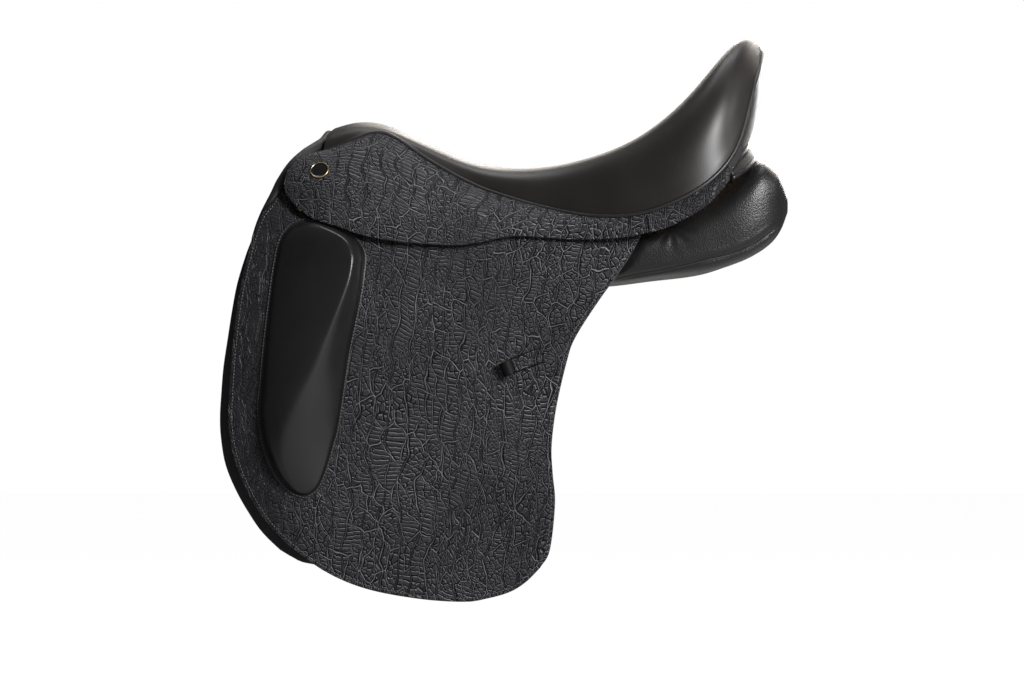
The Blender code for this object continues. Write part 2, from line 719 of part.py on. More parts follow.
def settle(item):
    """Replace an item's mesh by its evaluated one and clear its modifiers."""
    bpy.context.view_layer.update()
    graph = bpy.context.evaluated_depsgraph_get()
    mesh = bpy.data.meshes.new_from_object(item.evaluated_get(graph))
    item.modifiers.clear()
    item.data = mesh


def rod(name, start, end, radius, finish, collection, sides=20):
    """A round pin between two points."""
    a = Vector(start)
    b = Vector(end)
    body = bmesh.new()
    bmesh.ops.create_cone(body, cap_ends=True, segments=sides, radius1=radius, radius2=radius,
                          depth=(b - a).length)
    turn = (b - a).to_track_quat("Z", "Y").to_matrix()
    bmesh.ops.rotate(body, matrix=turn, verts=body.verts, cent=(0, 0, 0))
    bmesh.ops.translate(body, vec=(a + b) / 2, verts=body.verts)
    mesh = bpy.data.meshes.new(name)
    body.to_mesh(mesh)
    body.free()
    return add_object(name, mesh, finish, collection)


def make_stirrup_bar(parts):
    """Recessed stirrup bar: a plate riveted to the arm, the bar that holds the leather, its catch."""
    plate_w = spread(ARM_HALF_WIDTH) + CLEARANCE
    bar_w = plate_w + BAR_PLATE + BAR_GAP
    front = along(BAR_FRONT_X)
    rear = front + BAR_LENGTH
    mid = (front + rear) / 2
    plate = block("stirrup_bar_left", (BAR_LENGTH, BAR_PLATE, BAR_PLATE_HEIGHT),
                  (mid, -(plate_w + BAR_PLATE / 2), BAR_Z + BAR_PLATE_HEIGHT / 2 - 0.001),
                  steel(), parts)
    bar = block("bar", (BAR_LENGTH, BAR_WIDTH, BAR_HEIGHT),
                (mid, -(bar_w + BAR_WIDTH / 2), BAR_Z + BAR_HEIGHT / 2), steel(), parts, 0.0012)
    settle(bar)
    foot = block("foot", (BAR_FOOT, BAR_PLATE + BAR_GAP + BAR_WIDTH / 2, BAR_HEIGHT - 0.001),
                 (front + BAR_FOOT / 2 + 0.0005,
                  -(plate_w + 0.001 + (BAR_PLATE + BAR_GAP + BAR_WIDTH / 2) / 2),
                  BAR_Z + BAR_HEIGHT / 2 - 0.0002), steel(), parts)
    union(plate, foot)
    union(plate, bar)
    slot_w = plate_w + BAR_PLATE + BAR_GAP / 2
    thick = BAR_GAP - 2 * CATCH_PLAY
    pin_x = rear - CATCH_PIN_INSET
    pin_z = BAR_Z + CATCH_PIN_RISE
    catch = block("bar_catch_left", (CATCH_LENGTH, thick, BAR_HEIGHT - 0.0015),
                  (pin_x - CATCH_HEEL + CATCH_LENGTH / 2, -slot_w, pin_z), steel(), parts, 0.0008)
    settle(catch)
    hole = rod("hole", (pin_x, -slot_w - thick, pin_z), (pin_x, -slot_w + thick, pin_z),
               CATCH_PIN_RADIUS + CLEARANCE, steel(), parts)
    cut(catch, hole)
    pin = rod("catch_pin_left", (pin_x, -(plate_w + BAR_PLATE + CLEARANCE), pin_z),
              (pin_x, -(bar_w - CLEARANCE), pin_z), CATCH_PIN_RADIUS, steel(), parts)
    set_origin(catch, (pin_x, -slot_w, pin_z))
    return [plate, catch, pin]


def make_nail(parts, grid):
    """Domed head nail on the skirt's front corner, turned from brass."""
    flat = grid.reshape(-1, 3)
    fine = grid_normals(grid).reshape(-1, 3)
    away = np.hypot(flat[:, 0] - along(NAIL_X), flat[:, 2] - NAIL_Z)
    order = np.argsort(away)[:4]
    weight = 1 / (away[order] + 1e-6)
    weight /= weight.sum()
    place = (flat[order] * weight[:, None]).sum(0)
    normal = (fine[order] * weight[:, None]).sum(0)
    normal /= np.linalg.norm(normal)
    if normal[1] > 0:
        normal = -normal
    profile = [(0.0, 0.0), (NAIL_RADIUS - 0.0006, 0.0), (NAIL_RADIUS, NAIL_EDGE),
               (NAIL_RADIUS - 0.0005, NAIL_EDGE + 0.0007)]
    for k in range(1, 6):
        turn = k * math.pi / 10
        profile.append(((NAIL_RADIUS - 0.002) * math.cos(turn),
                        NAIL_EDGE + (NAIL_RISE - NAIL_EDGE) * math.sin(turn)))
    ring = 18
    body = bmesh.new()
    levels = []
    for r, z in profile:
        if r < 1e-6:
            levels.append([body.verts.new((0, 0, z))] * ring)
            continue
        levels.append([body.verts.new((r * math.cos(a), r * math.sin(a), z))
                       for a in np.linspace(0, 2 * math.pi, ring, endpoint=False)])
    for low, high in zip(levels, levels[1:]):
        for k in range(ring):
            quad = (low[k], low[(k + 1) % ring], high[(k + 1) % ring], high[k])
            body.faces.new(tuple(dict.fromkeys(quad)))
    bmesh.ops.recalc_face_normals(body, faces=body.faces)
    turn = Vector(normal).to_track_quat("Z", "Y").to_matrix()
    bmesh.ops.rotate(body, matrix=turn, verts=body.verts, cent=(0, 0, 0))
    lift = place + normal * (CLEARANCE + 0.0007)
    bmesh.ops.translate(body, vec=Vector(lift), verts=body.verts)
    mesh = bpy.data.meshes.new("head_nail_left")
    body.to_mesh(mesh)
    body.free()
    return add_object("head_nail_left", mesh, brass(), parts)


def make_d_ring(parts):
    """Front D-ring, brass wire, hanging from a staple in the head plate's arm."""
    x = along(D_RING_X)
    y = -(spread(ARM_HALF_WIDTH) + D_RING_STAND_OFF)
    ring = [(x - D_RING_RADIUS + 0.0005, y, D_RING_TOP_Z),
            (x, y, D_RING_TOP_Z), (x + D_RING_RADIUS - 0.0005, y, D_RING_TOP_Z)]
    for turn in np.linspace(0, math.pi, 11):
        ring.append((x + D_RING_RADIUS * math.cos(turn), y,
                     D_RING_TOP_Z - 0.002 - (D_RING_DROP - 0.002) * math.sin(turn)))
    d_ring = tube("d_ring_left", ring, D_RING_WIRE, brass(), parts, closed=True)
    inner = -(spread(ARM_HALF_WIDTH) + CLEARANCE)
    staple = [(x, inner, D_RING_TOP_Z + STAPLE_RADIUS)]
    for turn in np.linspace(0, math.pi, 9):
        staple.append((x, y - STAPLE_RADIUS * math.sin(turn),
                       D_RING_TOP_Z + STAPLE_RADIUS * math.cos(turn)))
    staple.append((x, inner, D_RING_TOP_Z - STAPLE_RADIUS))
    loop = tube("d_ring_staple_left", staple, STAPLE_WIRE, brass(), parts)
    set_origin(d_ring, (x, y, D_RING_TOP_Z))
    return [d_ring, loop]


def strap_axis(x):
    """Top and pivot heights of a girth strap at its place along the saddle."""
    return hinge_z(x) - STRAP_TOP, hinge_z(x) - STRAP_PIVOT_DROP


def make_girth(parts, floor):
    """Girth straps, each sewn to a web that runs down from the tree's rail."""
    made = []
    first = along(STRAP_FRONT_X)
    for end, x in (("front", first), ("rear", first + STRAP_PITCH)):
        top, pivot = strap_axis(x)
        edges = (x - STRAP_WIDTH / 2, x + STRAP_WIDTH / 2)
        rows = []
        for z in np.linspace(top, top - STRAP_LENGTH, 12):
            rows.append([(e, flap_y(e, z, STRAP_DEPTH), z) for e in edges])
        strap = sheet(end + "_girth_strap_left", np.array(rows), STRAP_THICKNESS,
                      leather("smooth_leather"), parts)
        set_origin(strap, (x, flap_y(x, pivot, STRAP_DEPTH + STRAP_THICKNESS / 2), pivot))
        rows = []
        for inset in (0.016, 0.003):
            rows.append([(e, -(rail_edge(floor, e) - inset),
                          under_tree(floor, e, rail_edge(floor, e) - inset) - FRAME_GAP)
                         for e in edges])
        for z in np.linspace(hinge_z(x) - 0.003, top - GIRTH_WEB_LAP, 4):
            rows.append([(e, flap_y(e, z, GIRTH_WEB_DEPTH), z) for e in edges])
        rows[2:2] = list(np.linspace(rows[1], rows[2], 4)[1:3])
        web = sheet(end + "_girth_web_left", np.array(rows), GIRTH_WEB_THICKNESS,
                    material("webbing", (0.5, 0.48, 0.42), 0.8), parts)
        made += [strap, web]
    return made


def make_keeper(parts):
    """Stirrup leather keeper: a strap sewn on the flap with a loop at its front end."""
    rear = outline([KEEPER_REAR])[0]
    front = outline([KEEPER_FRONT])[0]
    tip = outline([KEEPER_LOOP_END])[0]
    way = (front - rear) / np.linalg.norm(front - rear)
    side = np.array([-way[1], way[0]]) * KEEPER_WIDTH / 2
    out = CLEARANCE + KEEPER_THICKNESS

    def row(place, rise):
        return [(p[0], flap_y(p[0], p[1]) - rise, p[1]) for p in (place - side, place + side)]

    rows = [row(rear + (front - rear) * t, out) for t in np.linspace(0, 1, 4)]
    strap = sheet("keeper_strap_left", np.array(rows), KEEPER_THICKNESS,
                  leather("printed_leather"), parts)
    rows = []
    start = front + way * CLEARANCE
    for turn in np.linspace(0, math.pi, 9):
        share = (1 - math.cos(turn)) / 2
        rise = out + KEEPER_LOOP_RISE * math.sin(turn) ** 0.8
        rows.append(row(start + (tip - start) * share, rise))
    loop = sheet("keeper_loop_left", np.array(rows), KEEPER_THICKNESS,
                 leather("smooth_leather"), parts)
    return [strap, loop]


def both_sides(path, count):
    """A half path from the middle outwards as one path, left end to right end."""
    left = smooth(left_points(path), count)
    right = left[1:] * np.array([1, -1, 1])
    return np.vstack([left[::-1], right])


def make_back(parts):
    """Leather back of the cantle and the band that closes the panels' rear."""
    rear_seam = [(254.5, 0, 227), (252.5, 24, 221), (246.4, 60, 202.7), (239.1, 84, 181.2),
                 (223.9, 116, 131.6), (219.5, 122, 121.5)]
    top = both_sides(rear_seam, 11)
    low = both_sides(CANTLE_LOW, 11)
    rows = []
    gap = WELT_RADIUS + WELT_GAP / 2 + CANTLE_BACK_THICKNESS / 2
    for t in np.linspace(0, 1, 6):
        row = []
        for a, b in zip(top, low):
            line = b - a
            length = np.linalg.norm(line)
            start = gap / length
            s = start + (1 - start) * t
            point = a + line * s
            point[0] += BACK_SWELL * length * s * (1 - s) - 0.001 * (1 - s)
            row.append(point)
        rows.append(row)
    back = sheet("cantle_back", np.array(rows), CANTLE_BACK_THICKNESS,
                 leather("smooth_leather"), parts)
    top = both_sides(BAND_TOP, 8)
    low = both_sides(BAND_BOTTOM, 8)
    rows = [top + (low - top) * t for t in np.linspace(0, 1, 3)]
    band = sheet("rear_band", np.array(rows), REAR_BAND_THICKNESS, leather("smooth_leather"), parts)
    facing = tube("pommel_facing", both_sides(FACING, 14), FACING_RADIUS,
                  leather("smooth_leather"), parts, resolution=2)
    return back, band, facing


def build():
    for old in list(bpy.data.objects):
        bpy.data.objects.remove(old, do_unlink=True)
    parts = bpy.data.collections.new(NAME)
    bpy.context.scene.collection.children.link(parts)

    tree_floor = make_seat(parts)
    seam = smooth(left_points(SEAM + [(254.5, 0.7, 227.2)]), 40)
    left = [tube("seat_welt_left", seam, WELT_RADIUS, leather("smooth_leather"), parts)]
    left.append(make_skirt(parts))
    left.append(make_nail(parts, skirt_grid(60, 15)))
    lifted = [make_block(parts), *make_keeper(parts)]
    for piece in (make_flap(parts), *lifted):
        set_origin(piece, (0.0, flap_y(0.0, FLAP_HINGE_Z, FLAP_THICKNESS / 2), FLAP_HINGE_Z))
        left.append(piece)
    left.append(make_flap_corner(parts))
    left.append(make_sweat_flap(parts))
    left.append(make_panel(parts))
    left.extend(make_stirrup_bar(parts))
    left.extend(make_d_ring(parts))
    left.extend(make_girth(parts, tree_floor))
    make_head_plate(parts, tree_floor)
    make_back(parts)
    for item in left:
        mirrored(item, parts)


build()
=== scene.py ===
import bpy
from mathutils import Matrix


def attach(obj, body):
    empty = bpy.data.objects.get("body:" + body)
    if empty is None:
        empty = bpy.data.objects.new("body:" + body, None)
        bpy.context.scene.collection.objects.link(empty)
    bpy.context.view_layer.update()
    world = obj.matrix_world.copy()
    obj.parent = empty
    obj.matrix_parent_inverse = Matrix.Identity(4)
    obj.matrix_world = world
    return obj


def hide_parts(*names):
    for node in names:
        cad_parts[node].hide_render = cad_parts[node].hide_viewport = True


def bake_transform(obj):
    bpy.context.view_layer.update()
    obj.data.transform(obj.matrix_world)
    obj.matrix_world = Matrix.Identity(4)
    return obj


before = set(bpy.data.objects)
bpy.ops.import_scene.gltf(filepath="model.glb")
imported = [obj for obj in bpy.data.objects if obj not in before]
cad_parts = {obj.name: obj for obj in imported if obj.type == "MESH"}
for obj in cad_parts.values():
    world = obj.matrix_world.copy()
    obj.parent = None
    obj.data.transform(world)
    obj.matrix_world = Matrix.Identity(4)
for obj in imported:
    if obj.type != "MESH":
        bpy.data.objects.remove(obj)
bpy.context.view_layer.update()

import math
from functools import partial

import bmesh
import bpy
import numpy as np
from mathutils import Matrix, Vector
from mathutils.bvhtree import BVHTree

# Studio: a long lens square to the near side, a key lamp high in front on the cantle's side,
# softer lamps overhead, behind and on the off side, and a pale paper floor under the saddle.
CAMERA_PLACE, LENS_MM, SENSOR_MM = (0.0117, -3.2, -0.0539), 115.9, 36
LAMPS = [  # name, place, aim, width and height, watts, colour
    ("overhead", (0.1, 0.7, 2.0), (0, 0, 0), (1.6, 0.7), 14, (1, 1, 1)),
    ("rim", (0.6, 1.9, 1.15), (0, 0, 0.1), (2.0, 0.7), 17, (1, 0.92, 0.84)),
    ("right_strip", (2.2, -0.5, 0.95), (0.2, -0.1, 0.1), (0.9, 0.3), 7, (1, 1, 1)),
    ("off_side", (0.7, 2.6, 0.7), (0, 0, 0), (1.2, 1.0), 36, (1, 1, 1)),
    ("key", (1.6, -2.1, 1.1), (0.05, 0, 0), (0.75, 0.95), 108, (1, 1, 1))]
WHITE = (1, 1, 1, 1)
FILL_LIGHT, MIRRORED_WHITE = 0.05, 0.07
FLOOR_Z, FLOOR_GREY, FLOOR_GLOW = -0.62, (0.42, 0.42, 0.42, 1), 0.95


def placed(name, data):
    """A new object, put into the scene."""
    item = bpy.data.objects.new(name, data)
    bpy.context.scene.collection.objects.link(item)
    return item


def feed(tree, item, fed):
    """A node with its inputs set: each to a number, a colour or another node's output."""
    for socket, value in dict(fed).items():
        if isinstance(value, bpy.types.NodeSocket):
            tree.links.new(value, item.inputs[socket])
        else:
            item.inputs[socket].default_value = value
    return item


def node(tree, kind, fed=(), **settings):
    """A new node in a tree, with its settings and its inputs."""
    item = tree.nodes.new(kind)
    for name, value in settings.items():
        setattr(item, name, value)
    return feed(tree, item, fed)


def maths(tree, operation, *values):
    """The result of a sum on numbers or on other nodes' outputs."""
    return node(tree, "ShaderNodeMath", dict(enumerate(values)), operation=operation).outputs[0]


def new_finish(name):
    """A new material and its node tree."""
    made = bpy.data.materials.new(name)
    made.use_nodes = True
    return made, made.node_tree


def coat(tree, fed):
    """The material's own shader, with its inputs set."""
    return feed(tree, tree.nodes["Principled BSDF"], fed)


lens = bpy.data.cameras.new("camera")
lens.sensor_width = SENSOR_MM
lens.lens = LENS_MM
camera = placed("camera", lens)
camera.location = CAMERA_PLACE
camera.rotation_euler = (math.radians(90), 0, 0)
bpy.context.scene.camera = camera
bpy.context.scene.view_settings.view_transform = "Standard"

for name, place, aim, size, watts, colour in LAMPS:
    lamp = bpy.data.lights.new(name, "AREA")
    lamp.shape = "RECTANGLE"
    lamp.size, lamp.size_y = size
    lamp.energy = watts
    lamp.color = colour
    softbox = placed(name, lamp)
    softbox.location = place
    softbox.rotation_euler = (Vector(aim) - Vector(place)).to_track_quat("-Z", "Y").to_euler()

# the room is white to the camera and dim to the leather
world = bpy.data.worlds.new("studio")
bpy.context.scene.world = world
world.use_nodes = True
room = world.node_tree
room.nodes.clear()
rays = node(room, "ShaderNodeLightPath").outputs
white = node(room, "ShaderNodeBackground", {"Color": WHITE}).outputs[0]
fill = node(room, "ShaderNodeBackground", {"Color": WHITE, "Strength": FILL_LIGHT}).outputs[0]
mirrored_part = maths(room, "MULTIPLY", rays["Is Glossy Ray"], MIRRORED_WHITE)
seen = maths(room, "MAXIMUM", rays["Is Camera Ray"], mirrored_part)
seen = maths(room, "MAXIMUM", seen, rays["Is Transmission Ray"])
choice = node(room, "ShaderNodeMixShader", {0: seen, 1: fill, 2: white}).outputs[0]
node(room, "ShaderNodeOutputWorld", {"Surface": choice})

floor_mesh = bpy.data.meshes.new("floor")
floor_mesh.from_pydata([(x, y, FLOOR_Z) for x, y in ((-6, -6), (6, -6), (6, 9), (-6, 9))], [],
                       [(0, 1, 2, 3)])
floor = placed("floor", floor_mesh)
paper, tree = new_finish("floor_paper")
shader = coat(tree, {"Base Color": FLOOR_GREY, "Roughness": 0.9}).outputs[0]
glow = node(tree, "ShaderNodeEmission", {"Strength": FLOOR_GLOW}).outputs[0]
bright = node(tree, "ShaderNodeAddShader", {0: shader, 1: glow}).outputs[0]
seen = node(tree, "ShaderNodeLightPath").outputs["Is Camera Ray"]
choice = node(tree, "ShaderNodeMixShader", {0: seen, 1: shader, 2: bright}).outputs[0]
feed(tree, tree.nodes["Material Output"], {"Surface": choice})
floor_mesh.materials.append(paper)

# Seat cover: smooth calfskin drawn tight over the foam, sewn in along the piping and turned down
# over the cantle's end to the seam. Seam, crest and middle are drawn in mm, pommel to cantle.
MM = 0.001
ROOT = "seat_and_panels"
OFF_SIDE = np.array([1, -1, 1])
SEAM = [(-170.8, 40, 125.5), (-155.4, 42, 131.7), (-137.6, 44, 139.2), (-118, 45, 145.2),
        (-100, 46, 140.2), (-67, 50, 118), (-30, 58, 97), (0, 68, 84.7), (43.7, 88, 71.4),
        (86.5, 111, 63), (128.9, 129, 64), (171.2, 138, 79), (203.4, 133, 101.7),
        (223.9, 116, 131.6), (239.1, 84, 181.2), (246.4, 60, 202.7), (252.5, 24, 221)]
CREST = [(-166, 24, 145), (-151, 24, 152), (-136, 25, 155.5), (-117, 25, 155),
         (-100, 27, 148), (-67, 32, 132), (-30, 38, 115), (0, 46, 108.5), (44, 56, 110.5),
         (87, 72, 121), (130, 90, 138), (173, 95, 172), (204, 85, 209),
         (217, 68, 224.5), (231, 42, 237.5), (240, 28, 239.5), (248, 11, 236)]
MIDDLE = [(-160, 151.9), (-148.5, 157.8), (-134.9, 160.7), (-121, 159.2),
          (-102, 153.5), (-68.3, 137.4), (-31, 120.5), (0, 113.5), (44, 109),
          (87, 113), (130, 126), (173, 158), (204, 197),
          (218, 216), (233, 236.5), (242, 239.5), (249, 237)]
SEAM_INSET, COVER_THICKNESS = 2.2 * MM, 0.002
SEAT_ROWS, SEAT_COLUMNS, EASING_PASSES = 91, 71, 40
SIDE_SWELL, SWELL_WAY = 0.17, np.array([0.0, -1.0, 0.35])
TURN_BACK, TURN_UP, TURN_BOW = 0.0022, 0.0062, 0.0014


def smooth(points, count, start=0.0, end=0.0):
    """Count points, evenly spaced along a smooth curve, less a length trimmed at each end."""
    knots = np.array(points, float)
    p = np.vstack([2 * knots[0] - knots[1], knots, 2 * knots[-1] - knots[-2]])
    fine = []
    for i in range(1, len(p) - 2):
        for t in np.linspace(0, 1, 12, endpoint=False):
            fine.append(0.5 * (2 * p[i] + (p[i + 1] - p[i - 1]) * t
                               + (2 * p[i - 1] - 5 * p[i] + 4 * p[i + 1] - p[i + 2]) * t ** 2
                               + (3 * p[i] - p[i - 1] - 3 * p[i + 1] + p[i + 2]) * t ** 3))
    fine = np.array(fine + [knots[-1]])
    run = np.concatenate([[0], np.cumsum(np.linalg.norm(np.diff(fine, axis=0), axis=1))])
    wanted = np.linspace(start, run[-1] - end, count)
    return np.column_stack([np.interp(wanted, run, fine[:, k]) for k in range(fine.shape[1])])


def left_points(rows):
    """Drawn x, half-width, z rows as points on the left side, in metres."""
    return np.array([(x, -w, z) for x, w, z in rows]) * MM


def unit(ways):
    """Directions brought to a length of one."""
    return ways / np.linalg.norm(ways, axis=-1, keepdims=True)


def grid_normals(grid):
    """Unit normals of a grid of points, columns crossed with rows."""
    return unit(np.cross(np.gradient(grid, axis=0), np.gradient(grid, axis=1)))


def new_object(name, mesh, finish):
    """A smooth-shaded object with one material."""
    mesh.materials.append(finish)
    mesh.shade_smooth()
    return placed(name, mesh)


def finished(item):
    """The item with its modifiers worked into a plain mesh."""
    bpy.context.view_layer.update()
    graph = bpy.context.evaluated_depsgraph_get()
    mesh = bpy.data.meshes.new_from_object(item.evaluated_get(graph))
    name = item.name
    bpy.data.objects.remove(item, do_unlink=True)
    mesh.name = name
    mesh.shade_smooth()
    return placed(name, mesh)


def sheet(name, grid, thickness, finish, flip=False, edge=0.0, cut=None):
    """A leather sheet from a grid of points: its thickness laid inwards, its cut edges eased."""
    rows, columns = grid.shape[:2]
    corners = [(i * columns + j, i * columns + j + 1, (i + 1) * columns + j + 1,
                (i + 1) * columns + j) for i in range(rows - 1) for j in range(columns - 1)]
    mesh = bpy.data.meshes.new(name)
    mesh.from_pydata([tuple(p) for p in grid.reshape(-1, 3)], [],
                     corners if flip else [face[::-1] for face in corners])
    item = new_object(name, mesh, finish)
    wall = item.modifiers.new("thickness", "SOLIDIFY")
    wall.thickness = thickness
    wall.offset = -1.0
    if cut:
        mesh.materials.append(cut)
        wall.material_offset_rim = 1
    if edge:
        ease = item.modifiers.new("edges", "BEVEL")
        ease.width = edge
        ease.segments = 3
        ease.limit_method = "ANGLE"
        ease.angle_limit = math.radians(50)
    return finished(item)


def single(item, solid=None):
    """One piece on the middle of the saddle, and the solid it stands for."""
    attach(item, ROOT)
    if solid:
        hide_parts(solid)


def new_group(name, kind, inputs, outputs, sorts=()):
    """An empty node group, what it is given and its last node. Sorts name what isn't a number."""
    group = bpy.data.node_groups.new(name, kind)
    for way, sockets in (("INPUT", inputs), ("OUTPUT", outputs)):
        for socket in sockets:
            group.interface.new_socket(socket, in_out=way, socket_type="NodeSocket"
                                       + dict(sorts).get(socket, "Float"))
    return group, node(group, "NodeGroupInput").outputs, node(group, "NodeGroupOutput")


def position(tree):
    """Where a point lies on the saddle, which every pattern follows."""
    return node(tree, "ShaderNodeTexCoord").outputs["Object"]


def noise(tree, place, scale, detail=2.0, **more):
    """The outputs of a soft, cloudy noise."""
    return node(tree, "ShaderNodeTexNoise",
                {"Vector": place, "Scale": scale, "Detail": detail, **more}).outputs


def between(tree, value, span, result, **settings):
    """A value carried over from one span of numbers to another."""
    return node(tree, "ShaderNodeMapRange",
                {"Value": value, "From Min": span[0], "From Max": span[1],
                 "To Min": result[0], "To Max": result[1]}, **settings).outputs["Result"]


def relief(tree, height, strength, depth):
    """The surface raised and sunk by a height, to a depth in metres."""
    return node(tree, "ShaderNodeBump", {"Height": height, "Strength": strength,
                                         "Distance": depth}).outputs["Normal"]


# leather grain: pores and fine creases as a height, and a soft mottle as a mask
MOTTLE_SPAN = (0.3, 0.7)
GRAIN, given, result = new_group("leather_grain", "ShaderNodeTree", ("Scale", "Crease"),
                                 ("Height", "Mottle"))
place = position(GRAIN)
warped = node(GRAIN, "ShaderNodeVectorMath",
              {0: noise(GRAIN, place, 90)["Color"], 1: (0.0012, 0.0012, 0.0012), 2: place},
              operation="MULTIPLY_ADD").outputs[0]
pores = node(GRAIN, "ShaderNodeTexVoronoi",
             {"Vector": warped, "Scale": given["Scale"], "Smoothness": 0.4}, feature="SMOOTH_F1")
crease = noise(GRAIN, place, 260, 6, Roughness=0.62)["Fac"]
height = maths(GRAIN, "MULTIPLY_ADD", crease, given["Crease"], pores.outputs["Distance"])
feed(GRAIN, result, {"Height": height, "Mottle": noise(GRAIN, place, 14, 4)["Fac"]})


def calf(name, dark, light, rough, pores, crease, bump, depth=0.0003, shine=0.45):
    """Smooth or pebbled leather: mottled dye, pores, and a gloss that varies with wear."""
    made, tree = new_finish(name)
    grain = node(tree, "ShaderNodeGroup", {"Scale": pores, "Crease": crease},
                 node_tree=GRAIN).outputs
    low, high = [(end, end, end) for end in MOTTLE_SPAN]
    dye = node(tree, "ShaderNodeMapRange",
               {6: grain["Mottle"], 7: low, 8: high, 9: dark, 10: light},
               data_type="FLOAT_VECTOR").outputs[1]
    coat(tree, {"Base Color": dye, "Roughness": between(tree, grain["Mottle"], MOTTLE_SPAN, rough),
                "Normal": relief(tree, grain["Height"], bump, depth), "Specular IOR Level": shine})
    return made


SEAT_LEATHER = calf("seat_calf", (0.012, 0.0105, 0.010), (0.019, 0.016, 0.015), (0.36, 0.45),
                    pores=1500, crease=0.5, bump=0.16)
stations = []
for seam, crest, (x, z) in zip(SEAM, CREST, MIDDLE):
    edge, top = left_points([seam, crest])
    swell = SWELL_WAY * np.linalg.norm(edge - top) * SIDE_SWELL
    half = [edge, (edge + top) / 2 + swell, top, np.array([x, 0.0, z]) * MM]
    stations.append(half + [p * OFF_SIDE for p in half[-2::-1]])
stations = np.array(stations)
lines = [smooth(stations[:, k], SEAT_ROWS, 0.001, 0.002) for k in range(stations.shape[1])]
seat_grid = np.array([smooth([line[i] for line in lines], SEAT_COLUMNS, SEAM_INSET, SEAM_INSET)
                      for i in range(SEAT_ROWS)])
for _ in range(EASING_PASSES):
    around = (seat_grid[2:, 1:-1] + seat_grid[:-2, 1:-1] + seat_grid[1:-1, 2:]
              + seat_grid[1:-1, :-2])
    seat_grid[1:-1, 1:-1] = seat_grid[1:-1, 1:-1] * 0.5 + around * 0.125
seat_normals = grid_normals(seat_grid)
# the turn-down runs from the last row to a line just over the seam, a little bowed
span = np.linspace(-1, 1, SEAT_COLUMNS)
last = seat_grid[-1]
sewn = last[0] + (last[-1] - last[0]) * ((span + 1) / 2)[:, None]
sewn[:, 0] += TURN_BACK * (1 - np.abs(span) ** 1.6)
sewn[:, 2] += TURN_UP * (1 - np.abs(span) ** 1.4)
bow = np.array([TURN_BOW, 0, 0]) * (1 - span ** 2)[:, None]
turn_down = [last + (sewn - last) * t + bow * math.sin(math.pi * t)
             for t in (0.2, 0.4, 0.6, 0.8, 1.0)]
seat = sheet("seat_leather", np.vstack([seat_grid, turn_down]), COVER_THICKNESS, SEAT_LEATHER,
             edge=0.0008)
single(seat, "seat_cover")

# Seat foam: a layer of open-celled foam glued to the webbing, skived short of the seam so that
# the cover lies down to its stitches. It has the cover's shape, a little deeper.
FOAM_DEPTH, FOAM_THICKNESS = 2.6 * MM, 0.010


def blended(tree, share, dark, light):
    """A colour that runs from dark to light with a share."""
    return node(tree, "ShaderNodeMix", {0: share, 6: dark, 7: light},
                data_type="RGBA").outputs[2]


FOAM, tree = new_finish("seat_foam_finish")
pits = node(tree, "ShaderNodeTexVoronoi",
            {"Vector": position(tree), "Scale": 700}).outputs["Distance"]
coat(tree, {"Base Color": blended(tree, pits, (0.42, 0.40, 0.35, 1), (0.66, 0.63, 0.57, 1)),
            "Roughness": 0.9, "Normal": relief(tree, pits, 0.5, 0.0006)})
foam = sheet("foam_layer", (seat_grid - seat_normals * FOAM_DEPTH)[4:80, 4:-4], FOAM_THICKNESS,
             FOAM, edge=0.002)
single(foam, "seat_foam")

# Webbing: strong woven linen strained over the tree from pommel to cantle, tacked at both ends.
# It carries the foam, and shows only from below through the middle of the tree.
WEB_DEPTH, WEB_THICKNESS, YARN_PITCH = 13.2 * MM, 0.0015, 0.0014
LINEN, tree = new_finish("linen_web")
place = position(tree)
yarns = [node(tree, "ShaderNodeTexWave",
              {"Vector": place, "Scale": 0.314 / YARN_PITCH, "Distortion": 0.6, "Detail": 2},
              bands_direction=axis).outputs["Fac"] for axis in ("X", "Y")]
over = maths(tree, "MULTIPLY", *yarns)
coat(tree, {"Base Color": blended(tree, over, (0.22, 0.20, 0.16, 1), (0.50, 0.47, 0.39, 1)),
            "Roughness": 0.85, "Normal": relief(tree, over, 0.6, 0.0004)})
web = sheet("strained_web", (seat_grid - seat_normals * WEB_DEPTH)[10:64, 18:-18],
            WEB_THICKNESS, LINEN)
single(web, "seat_webbing")

# Skirts: small flaps of printed leather, 3 mm thick, sewn to the seat along the piping and
# hanging free over the stirrup bars.
SKIRT_EDGE = [(-200, 78, 107.7), (-204, 82.5, 94.5), (-198.5, 87.5, 80), (-178.5, 95.5, 62.4),
              (-152, 102, 53.3), (-130, 105, 45.6), (-98, 110, 39.5), (-46, 114.5, 35.5),
              (-22.5, 116, 37.5), (0, 117, 42.3), (20, 117.5, 44.2), (65, 122, 41),
              (107.5, 130, 41.3), (149.7, 140, 49), (171, 143, 58.3), (192, 142, 71),
              (203, 139, 82), (213.5, 134, 95), (215.7, 128, 106)]
SKIRT_SEAM = SEAM[:13] + [(214.6, 127, 112.6)]
SKIRT_SWELL, SKIRT_THICKNESS, SKIRT_ROWS = 0.54, 0.003, 121
SKIRT_BEND = (0.00034, 0.0643), (-0.0002, 0.0500)


def skirt_grid(columns):
    """The skirt between the seat's seam and its own lower edge, nose to tail."""
    grid = []
    for top, low in zip(smooth(left_points(SKIRT_SEAM), SKIRT_ROWS),
                        smooth(left_points(SKIRT_EDGE), SKIRT_ROWS)):
        line = low - top
        length = np.linalg.norm(line)
        side = unit(np.cross(line, (1.0, 0, 0)))
        side *= -np.sign(side[1])
        grid.append([top + line * t + side * SKIRT_SWELL * length * t * (1 - t)
                     for t in np.linspace(SEAM_INSET / length, 1, columns)])
    return np.array(grid)


